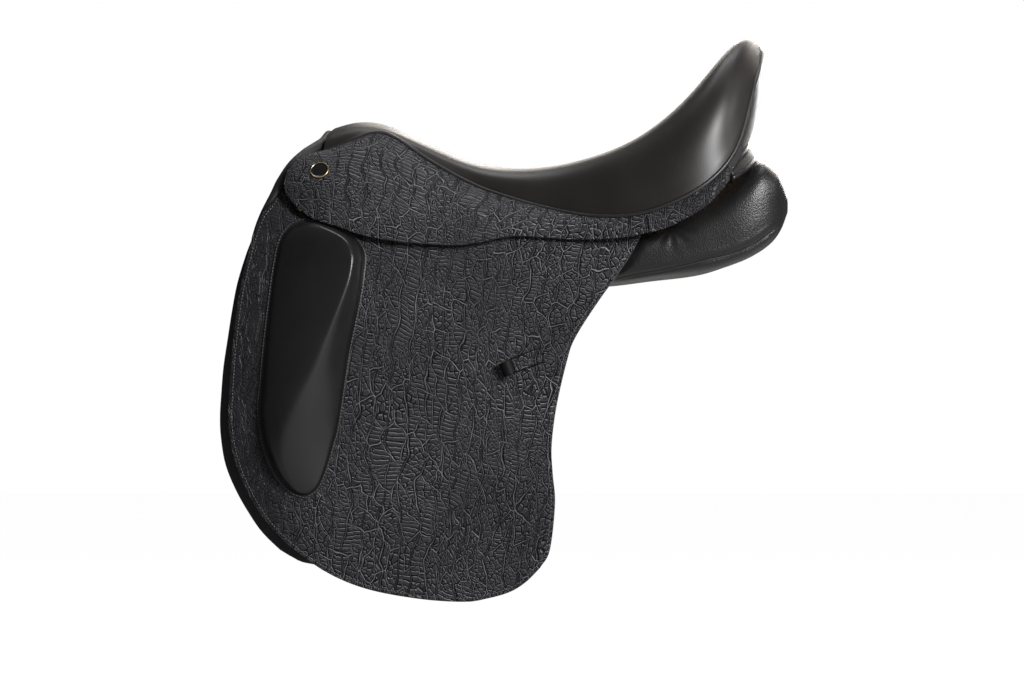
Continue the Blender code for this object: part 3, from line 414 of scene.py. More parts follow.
def mirrored(item):
    """The off-side copy of a near-side piece."""
    name = item.name.replace("left", "right")
    mesh = item.data.copy()
    mesh.name = name
    mesh.transform(Matrix.Diagonal((1, -1, 1, 1)))
    mesh.flip_normals()
    return placed(name, mesh)


def bending_pair(item, solids, start, end):
    """Both sides of a printed leather, each standing for its solids; the two x, z places are not
    used.
    """
    for piece, side, sign in ((item, "_left", -1), (mirrored(item), "_right", 1)):
        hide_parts(*[solid + side for solid in solids])
        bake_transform(piece)


# hide print: long raised veins that fork and run together, short rungs across them, fine cells
PRINT, given, result = new_group("hide_print", "ShaderNodeTree", ("Rungs", "Wander"),
                                 ("Height", "Lines_and_highlight", "Groove_shade", "Mottle"))
work = partial(maths, PRINT)
times, most = partial(work, "MULTIPLY"), partial(work, "MAXIMUM")
clouds = partial(noise, PRINT)
ramp = partial(between, PRINT, interpolation_type="SMOOTHSTEP")
RISING, FALLING = (0.0, 1.0), (1.0, 0.0)
VEINS_PER_METRE, NET_PER_METRE, RUNGS_PER_METRE = 66.0, 88.0, 225.0
VEIN_WIDTH, NET_WIDTH, WANDER, PRINT_DEPTH = 0.050, 0.038, 0.014, 0.0021


def vectors(operation, fed):
    """The result of a sum on places."""
    return node(PRINT, "ShaderNodeVectorMath", fed, operation=operation).outputs[0]


def shifted(start, scale, size):
    """The place moved about by soft noise, by up to half the size."""
    centred = vectors("SUBTRACT", {0: clouds(start, scale, 1.5)["Color"], 1: (0.5, 0.5, 0.5)})
    return vectors("ADD", {0: start, 1: vectors("SCALE", {0: centred, "Scale": size})})


def parts(start):
    """The x, y and z of a place."""
    return node(PRINT, "ShaderNodeSeparateXYZ", {0: start}).outputs


def cells(start, turn, stretch, scale):
    """The distance to the edges of scattered cells, turned and stretched."""
    aim = node(PRINT, "ShaderNodeMapping",
               {"Vector": start, "Rotation": (0, 0, turn), "Scale": (1.0, stretch, 1.0)})
    return node(PRINT, "ShaderNodeTexVoronoi", {"Vector": aim.outputs[0], "Scale": scale},
                voronoi_dimensions="2D", feature="DISTANCE_TO_EDGE").outputs["Distance"]


def off_middle(count, middle=0.5):
    """How far a count is from the middle of its step."""
    return work("ABSOLUTE", work("SUBTRACT", work("FRACT", count), middle))


# x and the length down the side, so that the print keeps its size on slopes, bent ever finer
place = position(PRINT)
split = parts(place)
down = work("MULTIPLY_ADD", work("ABSOLUTE", split["Y"]), -0.6, split["Z"])
flat = node(PRINT, "ShaderNodeCombineXYZ", {0: split["X"], 1: down}).outputs[0]
swayed = shifted(shifted(flat, 5.0, 0.09), 17.0, given["Wander"])
curved = shifted(swayed, 55.0, 0.0065)
jagged = shifted(curved, 240.0, 0.0013)
across, along = parts(jagged)["X"], parts(jagged)["Y"]
# veins: one set nearly upright and counted, one net that slants across it in patches
wave = times(parts(shifted(flat, 24.0, 0.042))["X"], 0.65)
wave = work("ADD", times(across, 0.35), wave)
count = times(work("MULTIPLY_ADD", along, -0.10, wave), VEINS_PER_METRE)
first = off_middle(count)
second = cells(shifted(curved, 90.0, 0.005), 0.55, 0.42, NET_PER_METRE)
fading = ramp(clouds(place, 40.0)["Fac"], (0.40, 0.62), (0.08, 0.9))
patches = ramp(clouds(place, 31.0)["Fac"], (0.34, 0.50), (0.1, 1.0))
vein = most(times(ramp(first, (0.0, VEIN_WIDTH), FALLING), fading),
            times(ramp(second, (0.0, NET_WIDTH), FALLING), patches))
vein_crease = most(ramp(first, (0.05, 0.12), FALLING),
                   times(ramp(second, (0.03, 0.11), FALLING), patches))
# rungs: evenly spaced cross creases, out of step from one pair of veins to the next
chance = node(PRINT, "ShaderNodeTexWhiteNoise", {"W": work("FLOOR", count)},
              noise_dimensions="1D").outputs["Value"]
step = work("MULTIPLY_ADD", work("MULTIPLY_ADD", across, 0.33, along), given["Rungs"],
            times(chance, 0.5))
# pebbles: small cells that take over from the rungs in patches; a copy shifted to one side gives
# each rung and pebble crease a lip of painted highlight
net_scale = times(given["Rungs"], 1.05)
net = cells(jagged, -0.5, 0.85, net_scale)
net_lit = cells(vectors("ADD", {0: jagged, 1: (0.0003, 0.0008, 0.0)}), -0.5, 0.85, net_scale)
pick = ramp(clouds(place, 24.0)["Fac"], (0.43, 0.48), RISING)
broken = ramp(clouds(place, 130.0)["Fac"], (0.34, 0.60), (0.50, 1.0))
painted_lip_highlight, crease = [
    node(PRINT, "ShaderNodeMix", {0: pick, 2: ramp(off_middle(step, middle), (0.02, wide), FALLING),
                                  3: ramp(pebble, (0.02, wide), FALLING)}).outputs[0]
    for middle, wide, pebble in ((0.28, 0.15, net_lit), (0.5, 0.17, net))]
# the creases sink the height, and as a colour they are darkened as painted shade
crease = most(times(crease, broken), times(vein_crease, 0.8))
crease = most(work("SUBTRACT", crease, vein), 0.0)
painted_lip_highlight = times(times(painted_lip_highlight, broken), work("SUBTRACT", 1.0, crease))
# veins and lips are raised in the height, and as a colour they are paler partly from wear and
# partly as painted highlight
raised_and_highlit = most(times(vein, 0.52), times(painted_lip_highlight, 0.62))
# the hide is flatter and plainer towards the flap's front edge and the skirt's tail, and darker
# there as painted shade
plain = times(ramp(split["X"], (-0.222, -0.165), (0.12, 1.0)),
             ramp(split["X"], (0.125, 0.190), (1.0, 0.35)))
height = work("MULTIPLY_ADD", crease, -0.9, work("MULTIPLY_ADD", raised_and_highlit, 0.5, 0.5))
height = work("MULTIPLY_ADD", clouds(place, 1000.0, 3.0)["Fac"], 0.2, height)
feed(PRINT, result, {
    "Height": times(height, work("POWER", plain, 0.5)), "Lines_and_highlight": raised_and_highlit,
    # towards the flap's front and the skirt's tail the painted shade of the grooves spreads over
    # the whole hide
    "Groove_shade": most(crease, work("MULTIPLY_ADD", plain, -0.62, 0.62)),
    "Mottle": times(clouds(place, 11.0, 3.0)["Fac"], plain)})

# printed leather: raised lines, paler and glossier partly from wear and partly as painted
# highlight, between grooves darkened as painted shade
HIDE, tree = new_finish("printed_hide")
pressed = node(tree, "ShaderNodeGroup", {"Rungs": RUNGS_PER_METRE, "Wander": WANDER},
               node_tree=PRINT).outputs
worn_and_highlit = maths(tree, "MULTIPLY", pressed["Lines_and_highlight"], pressed["Mottle"])
tone = blended(tree, worn_and_highlit, (0.029, 0.029, 0.0335, 1), (0.66, 0.66, 0.71, 1))
# the pale tone of the lines is partly painted highlight, and the near-black of the grooves is
# painted shade
coat(tree, {"Base Color": blended(tree, pressed["Groove_shade"], tone, (0.002, 0.002, 0.002, 1)),
            "Roughness": between(tree, pressed["Lines_and_highlight"], (0.0, 1.0), (0.44, 0.32)),
            "Normal": relief(tree, pressed["Height"], 1.0, PRINT_DEPTH),
            "Specular IOR Level": 0.22})
CUT_EDGE = calf("burnished_edge", (0.020, 0.020, 0.021), (0.045, 0.045, 0.047), (0.32, 0.45),
                pores=2600, crease=0.8, bump=0.10)
skirt = sheet("skirt_hide_left", skirt_grid(25), SKIRT_THICKNESS, HIDE, flip=True, edge=0.0009,
              cut=CUT_EDGE)
bending_pair(skirt, ["skirt"], *SKIRT_BEND)

# Piping: a cord covered in thin calfskin, sewn with waxed black thread between the seat and the
# skirts and cantle back. It runs from the pommel round to the middle of the cantle on each side.
PIPING_RADIUS, PIPING_OUT = 0.0019, np.array([0.15, -0.85, 0.5]) * 0.0018
FLANGE_REACH, FLANGE_OUT = np.array([0.0045, 0.003, -0.010]), np.array([0, 0.0012, 0])


def skin(name, rings, finish, tips=()):
    """A closed body over rings of points: its ends drawn to two tips, or joined without them."""
    body = bmesh.new()
    levels = [[body.verts.new(tuple(p)) for p in ring] for ring in rings]
    if not len(tips):
        levels.append(levels[0])
    steps = [(k, (k + 1) % len(levels[0])) for k in range(len(levels[0]))]
    for low, high in zip(levels, levels[1:]):
        for a, b in steps:
            body.faces.new((low[a], low[b], high[b], high[a]))
    for end, tip in zip((levels[0], levels[-1]), tips):
        point = body.verts.new(tuple(tip))
        for a, b in steps:
            body.faces.new((end[a], end[b], point))
    bmesh.ops.recalc_face_normals(body, faces=body.faces)
    mesh = bpy.data.meshes.new(name)
    body.to_mesh(mesh)
    body.free()
    return new_object(name, mesh, finish)


def tube(name, points, radius, finish, closed=False, sides=12):
    """A round cord along points, its ends closed by small domes."""
    points = np.array(points, float)
    way = unit(np.roll(points, -1, 0) - np.roll(points, 1, 0) if closed
               else np.gradient(points, axis=0))
    radii = np.broadcast_to(radius, len(points))
    up = np.cross(way[0], (0.31, 0.95, 0.05))
    rings = []
    for p, w, r in zip(points, way, radii):
        up = unit(up - w * np.dot(up, w))
        side = np.cross(w, up)
        rings.append([p + r * (up * math.cos(a) + side * math.sin(a))
                      for a in np.linspace(0, 2 * math.pi, sides, endpoint=False)])
    domes = [points[0] - way[0] * radii[0] * 0.6, points[-1] + way[-1] * radii[-1] * 0.6]
    return skin(name, rings, finish, [] if closed else domes)


def pair(item, solid=None, body=None):
    """Both sides of a piece: each rides on its body and stands for its solid."""
    pieces = (item, mirrored(item))
    for piece, side in zip(pieces, ("_left", "_right")):
        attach(piece, body + side if body else ROOT)
        if solid:
            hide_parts(solid + side)
    return pieces


# waxed thread, and nodes that lay beads of it along a path, one per pitch
THREAD, tree = new_finish("waxed_thread")
ply = node(tree, "ShaderNodeTexWave", {"Vector": position(tree), "Scale": 900},
           bands_direction="DIAGONAL").outputs["Fac"]
coat(tree, {"Base Color": blended(tree, ply, (0.05, 0.05, 0.053, 1), (0.15, 0.15, 0.16, 1)),
            "Roughness": 0.38})
ROW, given, result = new_group(
    "thread_row", "GeometryNodeTree", ("Path", "Pitch", "Length", "Thickness", "Thread"),
    ("Stitches",), {"Path": "Geometry", "Thread": "Material", "Stitches": "Geometry"})
curve = node(ROW, "GeometryNodeMeshToCurve", {0: given["Path"]}).outputs[0]
points = node(ROW, "GeometryNodeCurveToPoints", {"Curve": curve, "Length": given["Pitch"]},
              mode="LENGTH").outputs
turn = node(ROW, "FunctionNodeAlignRotationToVector", {"Vector": points["Tangent"]}, axis="Z")
bead = node(ROW, "GeometryNodeMeshUVSphere", {"Segments": 6, "Rings": 5, "Radius": 0.5})
size = node(ROW, "ShaderNodeCombineXYZ",
            {0: given["Thickness"], 1: given["Thickness"], 2: given["Length"]})
laid = node(ROW, "GeometryNodeInstanceOnPoints",
            {"Points": points["Points"], "Instance": bead.outputs["Mesh"],
             "Rotation": turn.outputs[0], "Scale": size.outputs[0]})
real = node(ROW, "GeometryNodeRealizeInstances", {0: laid.outputs["Instances"]}).outputs[0]
waxed = node(ROW, "GeometryNodeSetMaterial", {"Geometry": real, "Material": given["Thread"]})
feed(ROW, result, {0: waxed.outputs[0]})


def stitches(name, paths, length=0.0024, gap=0.0007, thickness=0.0008):
    """Rows of stitches along paths, as one plain mesh."""
    verts, edges = [], []
    for path in paths:
        edges += [(len(verts) + k, len(verts) + k + 1) for k in range(len(path) - 1)]
        verts += [tuple(p) for p in path]
    mesh = bpy.data.meshes.new(name)
    mesh.from_pydata(verts, edges, [])
    item = placed(name, mesh)
    sewn = item.modifiers.new("sewn", "NODES")
    sewn.node_group = ROW
    keys = {i.name: i.identifier for i in ROW.interface.items_tree if i.in_out == "INPUT"}
    sewn[keys["Pitch"]] = length + gap
    sewn[keys["Length"]] = length
    sewn[keys["Thickness"]] = thickness
    sewn[keys["Thread"]] = THREAD
    return finished(item)


PIPING_LEATHER = calf("piping_calf", (0.016, 0.0155, 0.0155), (0.026, 0.025, 0.025),
                      (0.34, 0.44), pores=1900, crease=0.4, bump=0.12)
# lining calf: its tone is darkened below the leather's own as painted shade, as the sweat flaps lie
# in shade
SHADED_LINING = calf("lining_calf_shaded", (0.009, 0.0087, 0.0087), (0.016, 0.0155, 0.0155), (0.44, 0.56),
              pores=1100, crease=0.7, bump=0.22)
line = smooth(left_points(SEAM + [(254.5, 0.7, 227.2)]), 170)
pair(tube("piping_left", line, PIPING_RADIUS, PIPING_LEATHER), "seat_welt")
pair(stitches("piping_stitches_left", [line[96:164] + PIPING_OUT], 0.0018, 0.0008, 0.0006))
# the flange of the piping, sewn in behind the tail of the skirt
tail = smooth(left_points(SEAM[11:14]), 30)
flange = np.array([tail + FLANGE_REACH * t + FLANGE_OUT for t in np.linspace(-0.05, 1, 8)])
pair(sheet("piping_flange_left", flange, 0.0015, SHADED_LINING, edge=0.0004))

# Head nails: a turned brass cap round a plain black enamel disc, 18 mm across, on a nail driven
# through the skirt's front corner into the tree. The profile is radius and height in mm.
NAIL_X, NAIL_Z = -0.1706, 0.107
NAIL_PROFILE = [(8.4, 0.05), (9.0, 0.3), (9.0, 0.9), (8.8, 1.4), (8.45, 1.55), (8.1, 1.4),
                (7.95, 1.0), (6.0, 1.25), (4.0, 1.5), (2.0, 1.65)]
NAIL_BASE, NAIL_TOP, ENAMEL_RADIUS, RIM_FOOT = 0.05, 1.7, 8.1 * MM, 0.5 * MM


def metal(name, colour, rough):
    """Worked metal with a little tarnish, which dulls it."""
    made, tree = new_finish(name)
    tarnish = noise(tree, position(tree), 220, 5)["Fac"]
    dull = (*[c * 0.6 for c in colour], 1)
    coat(tree, {"Metallic": 1.0, "Base Color": blended(tree, tarnish, dull, (*colour, 1)),
                "Roughness": between(tree, tarnish, (0.0, 1.0), (rough + 0.15, rough - 0.08))})
    return made


BRASS = metal("polished_brass", (0.80, 0.62, 0.33), 0.26)
ENAMEL, tree = new_finish("black_enamel")
coat(tree, {"Base Color": (0.006, 0.006, 0.006, 1), "Roughness": 0.22})
grid = skirt_grid(61)
facing = grid_normals(grid).reshape(-1, 3)
grid = grid.reshape(-1, 3)
near = np.argsort(np.hypot(grid[:, 0] - NAIL_X, grid[:, 2] - NAIL_Z))[:4]
place, axis = grid[near].mean(0), facing[near].mean(0)
axis = axis if axis[1] < 0 else -axis
turn = np.array(Vector(axis).to_track_quat("Z", "Y").to_matrix())
spin = np.linspace(0, 2 * math.pi, 40, endpoint=False)
rings = [place + np.column_stack([r * np.cos(spin), r * np.sin(spin), np.full(40, h)]) * MM @ turn.T
         for r, h in NAIL_PROFILE]
nail = skin("head_nail_cap_left", rings, BRASS,
            [place + turn[:, 2] * h * MM for h in (NAIL_BASE, NAIL_TOP)])
nail.data.materials.append(ENAMEL)
for face in nail.data.polygons:
    out_x, out_y, up = (np.array(face.center) - place) @ turn
    face.material_index = int(math.hypot(out_x, out_y) < ENAMEL_RADIUS and up > RIM_FOOT)
pair(nail, "head_nail")

# Front D-rings: brass wire bent to a D and brazed, each held by a staple of thinner wire in the
# head plate's arm. The rings swing, the staples stay.
RING_X, RING_Y, RING_Z = -0.183, -0.0755, 0.0845
RING_HALF, RING_BOW, BOW_TOP, RING_DROP, RING_WIRE = 0.0088, 0.010, 0.002, 0.0155, 0.0017
STAPLE_FOOT_Y, STAPLE_BEND, STAPLE_WIRE = -0.0683, 0.0038, 0.0015
bow = [(RING_X + t * RING_HALF, RING_Y, RING_Z) for t in np.linspace(-1, 1, 12)]
bow += [(RING_X + RING_BOW * math.cos(a), RING_Y, RING_Z - BOW_TOP - RING_DROP * math.sin(a))
        for a in np.linspace(0, math.pi, 40)]
pair(tube("d_ring_wire_left", bow, RING_WIRE, BRASS, closed=True, sides=16), "d_ring",
     "ring")
bow = [(RING_X, STAPLE_FOOT_Y, RING_Z + STAPLE_BEND)]
bow += [(RING_X, RING_Y - STAPLE_BEND * math.sin(a), RING_Z + STAPLE_BEND * math.cos(a))
        for a in np.linspace(0, math.pi, 24)]
bow += [(RING_X, STAPLE_FOOT_Y, RING_Z - STAPLE_BEND)]
pair(tube("staple_wire_left", bow, STAPLE_WIRE, BRASS), "d_ring_staple")

# Flaps: one side of printed leather each, 4 mm thick, hung from the tree under the skirt, where
# the front corner is nailed. The edges are rounded and dyed, with a row of stitches inside them.
FLAP_FRONT = [(-226, 62), (-234, 41), (-240.5, 13), (-246.5, -19), (-251, -62),
              (-253.7, -105), (-253.7, -137), (-245.5, -173.5), (-225, -214), (-199, -243.5)]
FLAP_BOTTOM = [(-199, -243.5), (-163, -269), (-124.5, -285), (-75.5, -294), (-33, -296.5),
               (-11.5, -293.3), (9.8, -287), (24.7, -277.5), (37.5, -264.6)]
FLAP_REAR = [(136, 48), (127, 34.6), (116.4, 17.3), (90.3, -19.2), (70, -51.4), (62.5, -72.7),
             (52.7, -115.3), (48.2, -151.7), (49.2, -177.3), (51.3, -205), (46.5, -248),
             (37.5, -264.6)]
CORNER = [(-202, 97), (-207.5, 89.5), (-213.5, 81), (-219.5, 72.5), (-225.5, 64.5)]
FLAP_TOP = [(-202, 97), (-198, 93), (-194.5, 82), (-190, 73), (-180, 68.5), (-150, 65),
            (-60, 61.6), (40, 57.8), (136, 53)]
HINGE_Z, HINGE_FALL, CORNER_LEAN, LEAN_FROM, LEAN_OVER = 0.0553, 0.038, 0.18, -0.200, 0.008
FLAP_SPREAD, FLAP_SPLAY, FLAP_BOW, BOW_LENGTH = 0.276 * 0.763, 0.10, 0.042, 0.140
FLAP_THICKNESS, HALF_BEND, STITCH_MARGIN, STITCH_OUT = 0.004, 0.003, 3.4, 0.0002


def hinge_z(x):
    """The height of the line at which the flap bends."""
    return HINGE_Z - HINGE_FALL * x


def flap_y(x, z, depth=0.0):
    """Near-side flap's outer face at x, z, or a layer that lies depth inside it."""
    bow = FLAP_BOW * (1 - np.exp(-(hinge_z(x) - z) / BOW_LENGTH))
    return -(FLAP_SPREAD / 2 + FLAP_SPLAY * x + bow - depth)


def on_flap(points, lift=0.0):
    """Drawn x, z points in mm laid on the flap's outer face."""
    x, z = np.array(points, float).T * MM
    return np.column_stack([x, flap_y(x, z) - lift, z])


def patch(front, rear, top, bottom, rows, columns, depth):
    """A drawn outline filled with a grid on the flap's shape, leaning in above the hinge."""
    left, right = [smooth(np.array(side) * MM, rows)[:, None] for side in (front, rear)]
    up, down = [smooth(np.array(side) * MM, columns)[None] for side in (top, bottom)]
    s, t = np.linspace(0, 1, rows)[:, None, None], np.linspace(0, 1, columns)[None, :, None]
    flat = ((1 - t) * left + t * right + (1 - s) * up + s * down
            - (1 - s) * (1 - t) * up[:, :1] - (1 - s) * t * up[:, -1:]
            - s * (1 - t) * down[:, :1] - s * t * down[:, -1:])
    x, z = flat[..., 0], flat[..., 1]
    steep = np.clip((x - LEAN_FROM) / LEAN_OVER, 0, 1)
    lean = (CORNER_LEAN + steep * steep * (3 - 2 * steep)) * np.maximum(0, z - hinge_z(x))
    return np.stack([x, flap_y(x, z, depth) + lean, z], axis=2)


def inset(points, distance):
    """A drawn path moved sideways, to its left as it runs."""
    line = smooth(points, 4 * len(points) + 60)
    way = unit(np.gradient(line, axis=0))
    return line + np.column_stack([-way[:, 1], way[:, 0]]) * distance


flap_grid = patch(CORNER + FLAP_FRONT[1:], FLAP_TOP[-1:] + FLAP_REAR[1:], FLAP_TOP, FLAP_BOTTOM,
                  111, 91, 0.0)
flap = sheet("flap_hide_left", flap_grid, FLAP_THICKNESS, HIDE, edge=0.0012, cut=CUT_EDGE)
bending_pair(flap, ["flap", "flap_corner"], (HINGE_FALL * HALF_BEND, HINGE_Z + HALF_BEND),
             (-HINGE_FALL * HALF_BEND, HINGE_Z - HALF_BEND))
rim = inset(CORNER + FLAP_FRONT[1:] + FLAP_BOTTOM[1:], STITCH_MARGIN)
rim_rear = inset(FLAP_REAR[::-1], STITCH_MARGIN)
edge_rows = [on_flap(side[side[:, 1] < 55], STITCH_OUT) for side in (rim, rim_rear)]
corner_row = on_flap(rim[rim[:, 1] >= 55], STITCH_OUT)
corner_row[:, 1] += CORNER_LEAN * np.maximum(0, corner_row[:, 2] - hinge_z(corner_row[:, 0]))
pair(stitches("flap_stitches_left", edge_rows), body="flap")
pair(stitches("corner_stitches_left", [corner_row]))

# Sweat flaps: plain leather 3 mm thick, sewn to the panels and lying against the horse. Their
# front edge shows as a narrow dark margin in front of the flap; the lining's tone is darkened as
# painted shade.
SWEAT_FRONT = [(-223, 58.5), (-231, 54), (-236, 40), (-240.8, 26.6), (-248.3, 0.3), (-253, -26),
               (-256.8, -52.5), (-260.5, -79), (-262.4, -105), (-263.4, -125), (-262.4, -145),
               (-257.7, -171), (-246.4, -197.5), (-230.4, -223.9), (-220, -237), (-205.9, -250.3)]
SWEAT_BOTTOM = [(-205.9, -250.3), (-192.7, -257.8), (-178, -263), (-120, -270), (-60, -273),
                (-10, -265), (25, -240)]
SWEAT_REAR = [(96, 45.6), (84, 12), (62, -30), (48, -72), (40, -115), (38, -160),
              (37, -205), (25, -240)]
SWEAT_TOP = [(-223, 58.5), (-116, 53.7), (-10, 49.7), (96, 45.6)]
SWEAT_DEPTH, SWEAT_THICKNESS = 0.0133, 0.003
sweat_grid = patch(SWEAT_FRONT, SWEAT_REAR, SWEAT_TOP, SWEAT_BOTTOM, 61, 51, SWEAT_DEPTH)
sweat = sheet("sweat_flap_calf_left", sweat_grid, SWEAT_THICKNESS, SHADED_LINING, edge=0.0009,
              cut=CUT_EDGE)
pair(sweat, "sweat_flap")

# Thigh blocks: moulded foam under smooth calfskin, highest along a ridge that runs from the top
# rear corner down to the front. Each is sewn to the flap through a narrow turned edge.
BLOCK_FRONT = [(-188, 57.3), (-197, 52.5), (-205, 41), (-210, 17), (-214.5, -19), (-219, -62),
               (-221.5, -94), (-223.5, -116), (-222, -137), (-216.5, -158), (-206, -180),
               (-193, -193.5), (-184, -197)]
BLOCK_REAR = [(-184, 57.5), (-172, 57), (-157.5, 52.5), (-145, 46.5), (-135, 38.5), (-129.5, 27),
              (-130, 12), (-133, -13), (-138.5, -41.5), (-144, -70), (-152.5, -130),
              (-158, -152), (-164, -173), (-171.5, -190), (-181, -197.3)]
BLOCK_RIDGE = [(-184, 50), (-164, 41), (-137, 27), (-136, 0), (-147, -23.5), (-160.5, -47),
               (-176, -73), (-191.5, -94), (-201.5, -116), (-205, -137), (-203, -160), (-190, -187)]
BLOCK_RISE, BLOCK_EDGE, SEWN_GAP = 0.036, 0.0025, 0.0003
BLOCK_ROWS, BASE_POINTS, CROWN_POINTS = 72, 14, 44
REAR_FALL, FRONT_FALL, CROWN_FULLNESS = 1.6, 1.75, 0.8
TOP_SWELL, FOOT_TAPER, RIDGE_SHARE = 4.2, 1.9, (0.2, 0.91)
STITCH_REACH, STITCH_LIFT = 2.9, 0.0010
TURNED_EDGE = [(-1.5, 0.0), (-1.2, 0.5), (0.6, 0.5), (1.4, 0.6), (2.2, 0.9), (3.6, 0.8),
               (4.1, 0.5), (4.2, 0.0)]
base = np.linspace(0, 1, BASE_POINTS)
crown = 0.5 + 0.5 * np.cos(np.linspace(0, math.pi, CROWN_POINTS))
rings = []
for s, front, rear, ridge in zip(np.linspace(0, 1, BLOCK_ROWS), *[
        smooth(np.array(p) * MM, BLOCK_ROWS) for p in (BLOCK_FRONT, BLOCK_REAR, BLOCK_RIDGE)]):
    swell = math.sin(min(s * TOP_SWELL, 1.0) * math.pi / 2) ** 0.8
    taper = math.sin(min((1 - s) * FOOT_TAPER, 1.0) * math.pi / 2)
    span = rear - front
    share = np.clip(np.dot(ridge - front, span) / np.dot(span, span), *RIDGE_SHARE)
    behind = crown > share
    gone = np.abs(crown - share) / np.where(behind, 1 - share, share)
    rise = 1 - gone ** np.where(behind, REAR_FALL, FRONT_FALL)
    rise = (BLOCK_RISE - BLOCK_EDGE) * swell * taper * np.maximum(rise, 0) ** CROWN_FULLNESS
    lift = SEWN_GAP + np.concatenate([base * 0, BLOCK_EDGE + rise])
    x, z = (front + span * np.concatenate([base, crown])[:, None]).T
    rings.append(np.column_stack([x, flap_y(x, z) - lift, z]))
BLOCK_LEATHER = calf("block_calf", (0.009, 0.0087, 0.0087), (0.015, 0.0145, 0.0145),
                     (0.26, 0.34), pores=1500, crease=0.5, bump=0.14)
block = skin("block_calf_left", rings, BLOCK_LEATHER, [rings[0].mean(0), rings[-1].mean(0)])
for piece in pair(block, "thigh_block", "flap"):
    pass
around = smooth(BLOCK_FRONT + BLOCK_REAR[::-1] + BLOCK_FRONT[:1], 260)
way = unit(np.roll(around, -1, 0) - np.roll(around, 1, 0))
out = np.column_stack([way[:, 1], -way[:, 0]])
out *= np.sign(np.mean(np.sum(out * (around - around.mean(0)), axis=1)))
around, out = around[:-1], out[:-1]
turned = skin("block_turned_edge_left", [on_flap(around + out * reach, lift * MM)
                                         for reach, lift in TURNED_EDGE], BLOCK_LEATHER)
pair(turned, body="flap")
pair(stitches("block_stitches_left", [on_flap(around + out * STITCH_REACH, STITCH_LIFT)]),
     body="flap")

# Panels: two long cushions of finely grained leather flocked with wool, a gullet between them.
# Each keeps clear of the head plate, the bar and the sweat flap, and a gusset deepens it behind.
# Each row: x, inner and outer y, inner and outer bottom, inner and outer top, in mm.
PANEL = [(-222, 52, 84, 58, 20, 97, 60), (-214, 46, 90, 48, 0, 106, 62),
         (-190, 40, 96, 36, -24, 106, 60), (-150, 36, 100, 26, -42, 92, 54),
         (-100, 35, 104, 16, -34, 76, 50), (-50, 35, 106, 8, -20, 64, 48),
         (0, 35, 108, 4, -8, 60, 45), (50, 35, 110, 2, -2, 58, 44),
         (104, 35, 114, 2, -2, 56, 46), (150, 35, 118, 6, 4, 68, 51),
         (195, 36, 121, 11, 10, 94, 70), (225, 37, 122, 20, 19, 113, 95),
         (244, 40, 119, 29, 28.5, 121.5, 109), (257.5, 46, 112, 39, 39, 115, 105),
         (266, 55, 101, 51, 51, 101, 94), (272, 66, 88, 66, 66, 83, 80)]
GUSSET = [(110.2, 3.5), (129.6, 7.8), (151, 11.5), (172.5, 16), (194, 21.3), (215.5, 26.1),
          (237, 34.7), (258.5, 49.8)]
PANEL_RINGS, PANEL_SIDES, ROUNDING = 260, 170, 0.62
ARM_HALF_WIDTH, ARM_GAP = 0.068, 0.0062
BAR_LOW_Z, BAR_TOP_Z = 0.0695 - 0.016, 0.0695 + 0.016 - 0.001
UNDER_SWEAT = SWEAT_DEPTH + SWEAT_THICKNESS + 0.0006
FREE_X, SEAM_WIDTH, SEAM_DRAWN, SEAM_SWELL = 0.190, 0.0036, 0.0026, 0.0008
PUCKER_X, PUCKER_Z, PUCKER_WIDTH, PUCKER_DEPTH, SPOKE_DEPTH = 0.1606, 0.0515, 0.017, 0.0024, 0.0007
WELT_RADIUS, WELT_OUT = 0.0011, 0.0003
turn = 2 * math.pi * (np.arange(PANEL_SIDES) + 0.5) / PANEL_SIDES
s, t = [(np.sign(a) * np.abs(a) ** ROUNDING + 1) / 2 for a in (np.cos(turn), np.sin(turn))]
rings = []
for x, y_in, y_out, low_in, low_out, top_in, top_out in smooth(PANEL, PANEL_RINGS):
    lean = 0.37 * np.clip((-100 - x) / 110, 0, 1)
    low = low_in + (low_out - low_in) * s
    z = low + (top_in + (top_out - top_in) * s - low) * t
    x, z = (x + lean * (z - 50)) * MM, z * MM
    y = (y_in + (y_out - y_in) * s) * MM
    at_bar = (x > -0.205) & (x < -0.115) & (z > -0.032)
    arm = (ARM_HALF_WIDTH - ARM_GAP + 0.45 * np.maximum(0, BAR_LOW_Z - z)
           - 1.1 * np.maximum(0, z - BAR_TOP_Z))
    y = np.where(at_bar, np.minimum(y, arm), y)
    spread = np.maximum(0, x - 0.110) * 0.38 + np.maximum(0, x - 0.142) * 0.35
    under = spread - flap_y(x, z, UNDER_SWEAT + ARM_GAP * at_bar)
    rings.append(np.column_stack([x, -np.where(x < FREE_X, np.minimum(y, under), y), z]))
rings, seam = np.array(rings), np.array(GUSSET) * MM
x, z, outer = rings[..., 0], rings[..., 2], rings[..., 1] < -0.070
# the gusset seam draws the leather in, and the stuffing swells on both sides of it
gap = (z - np.interp(x, seam[:, 0], seam[:, 1])) / SEAM_WIDTH
fade = np.clip((x - 0.100) / 0.02, 0, 1) * np.clip((0.262 - x) / 0.01, 0, 1) * outer
drawn_in = fade * (SEAM_DRAWN * np.exp(-gap ** 2 * 2.5)
                   - SEAM_SWELL * np.exp(-(gap - 1.7) ** 2))
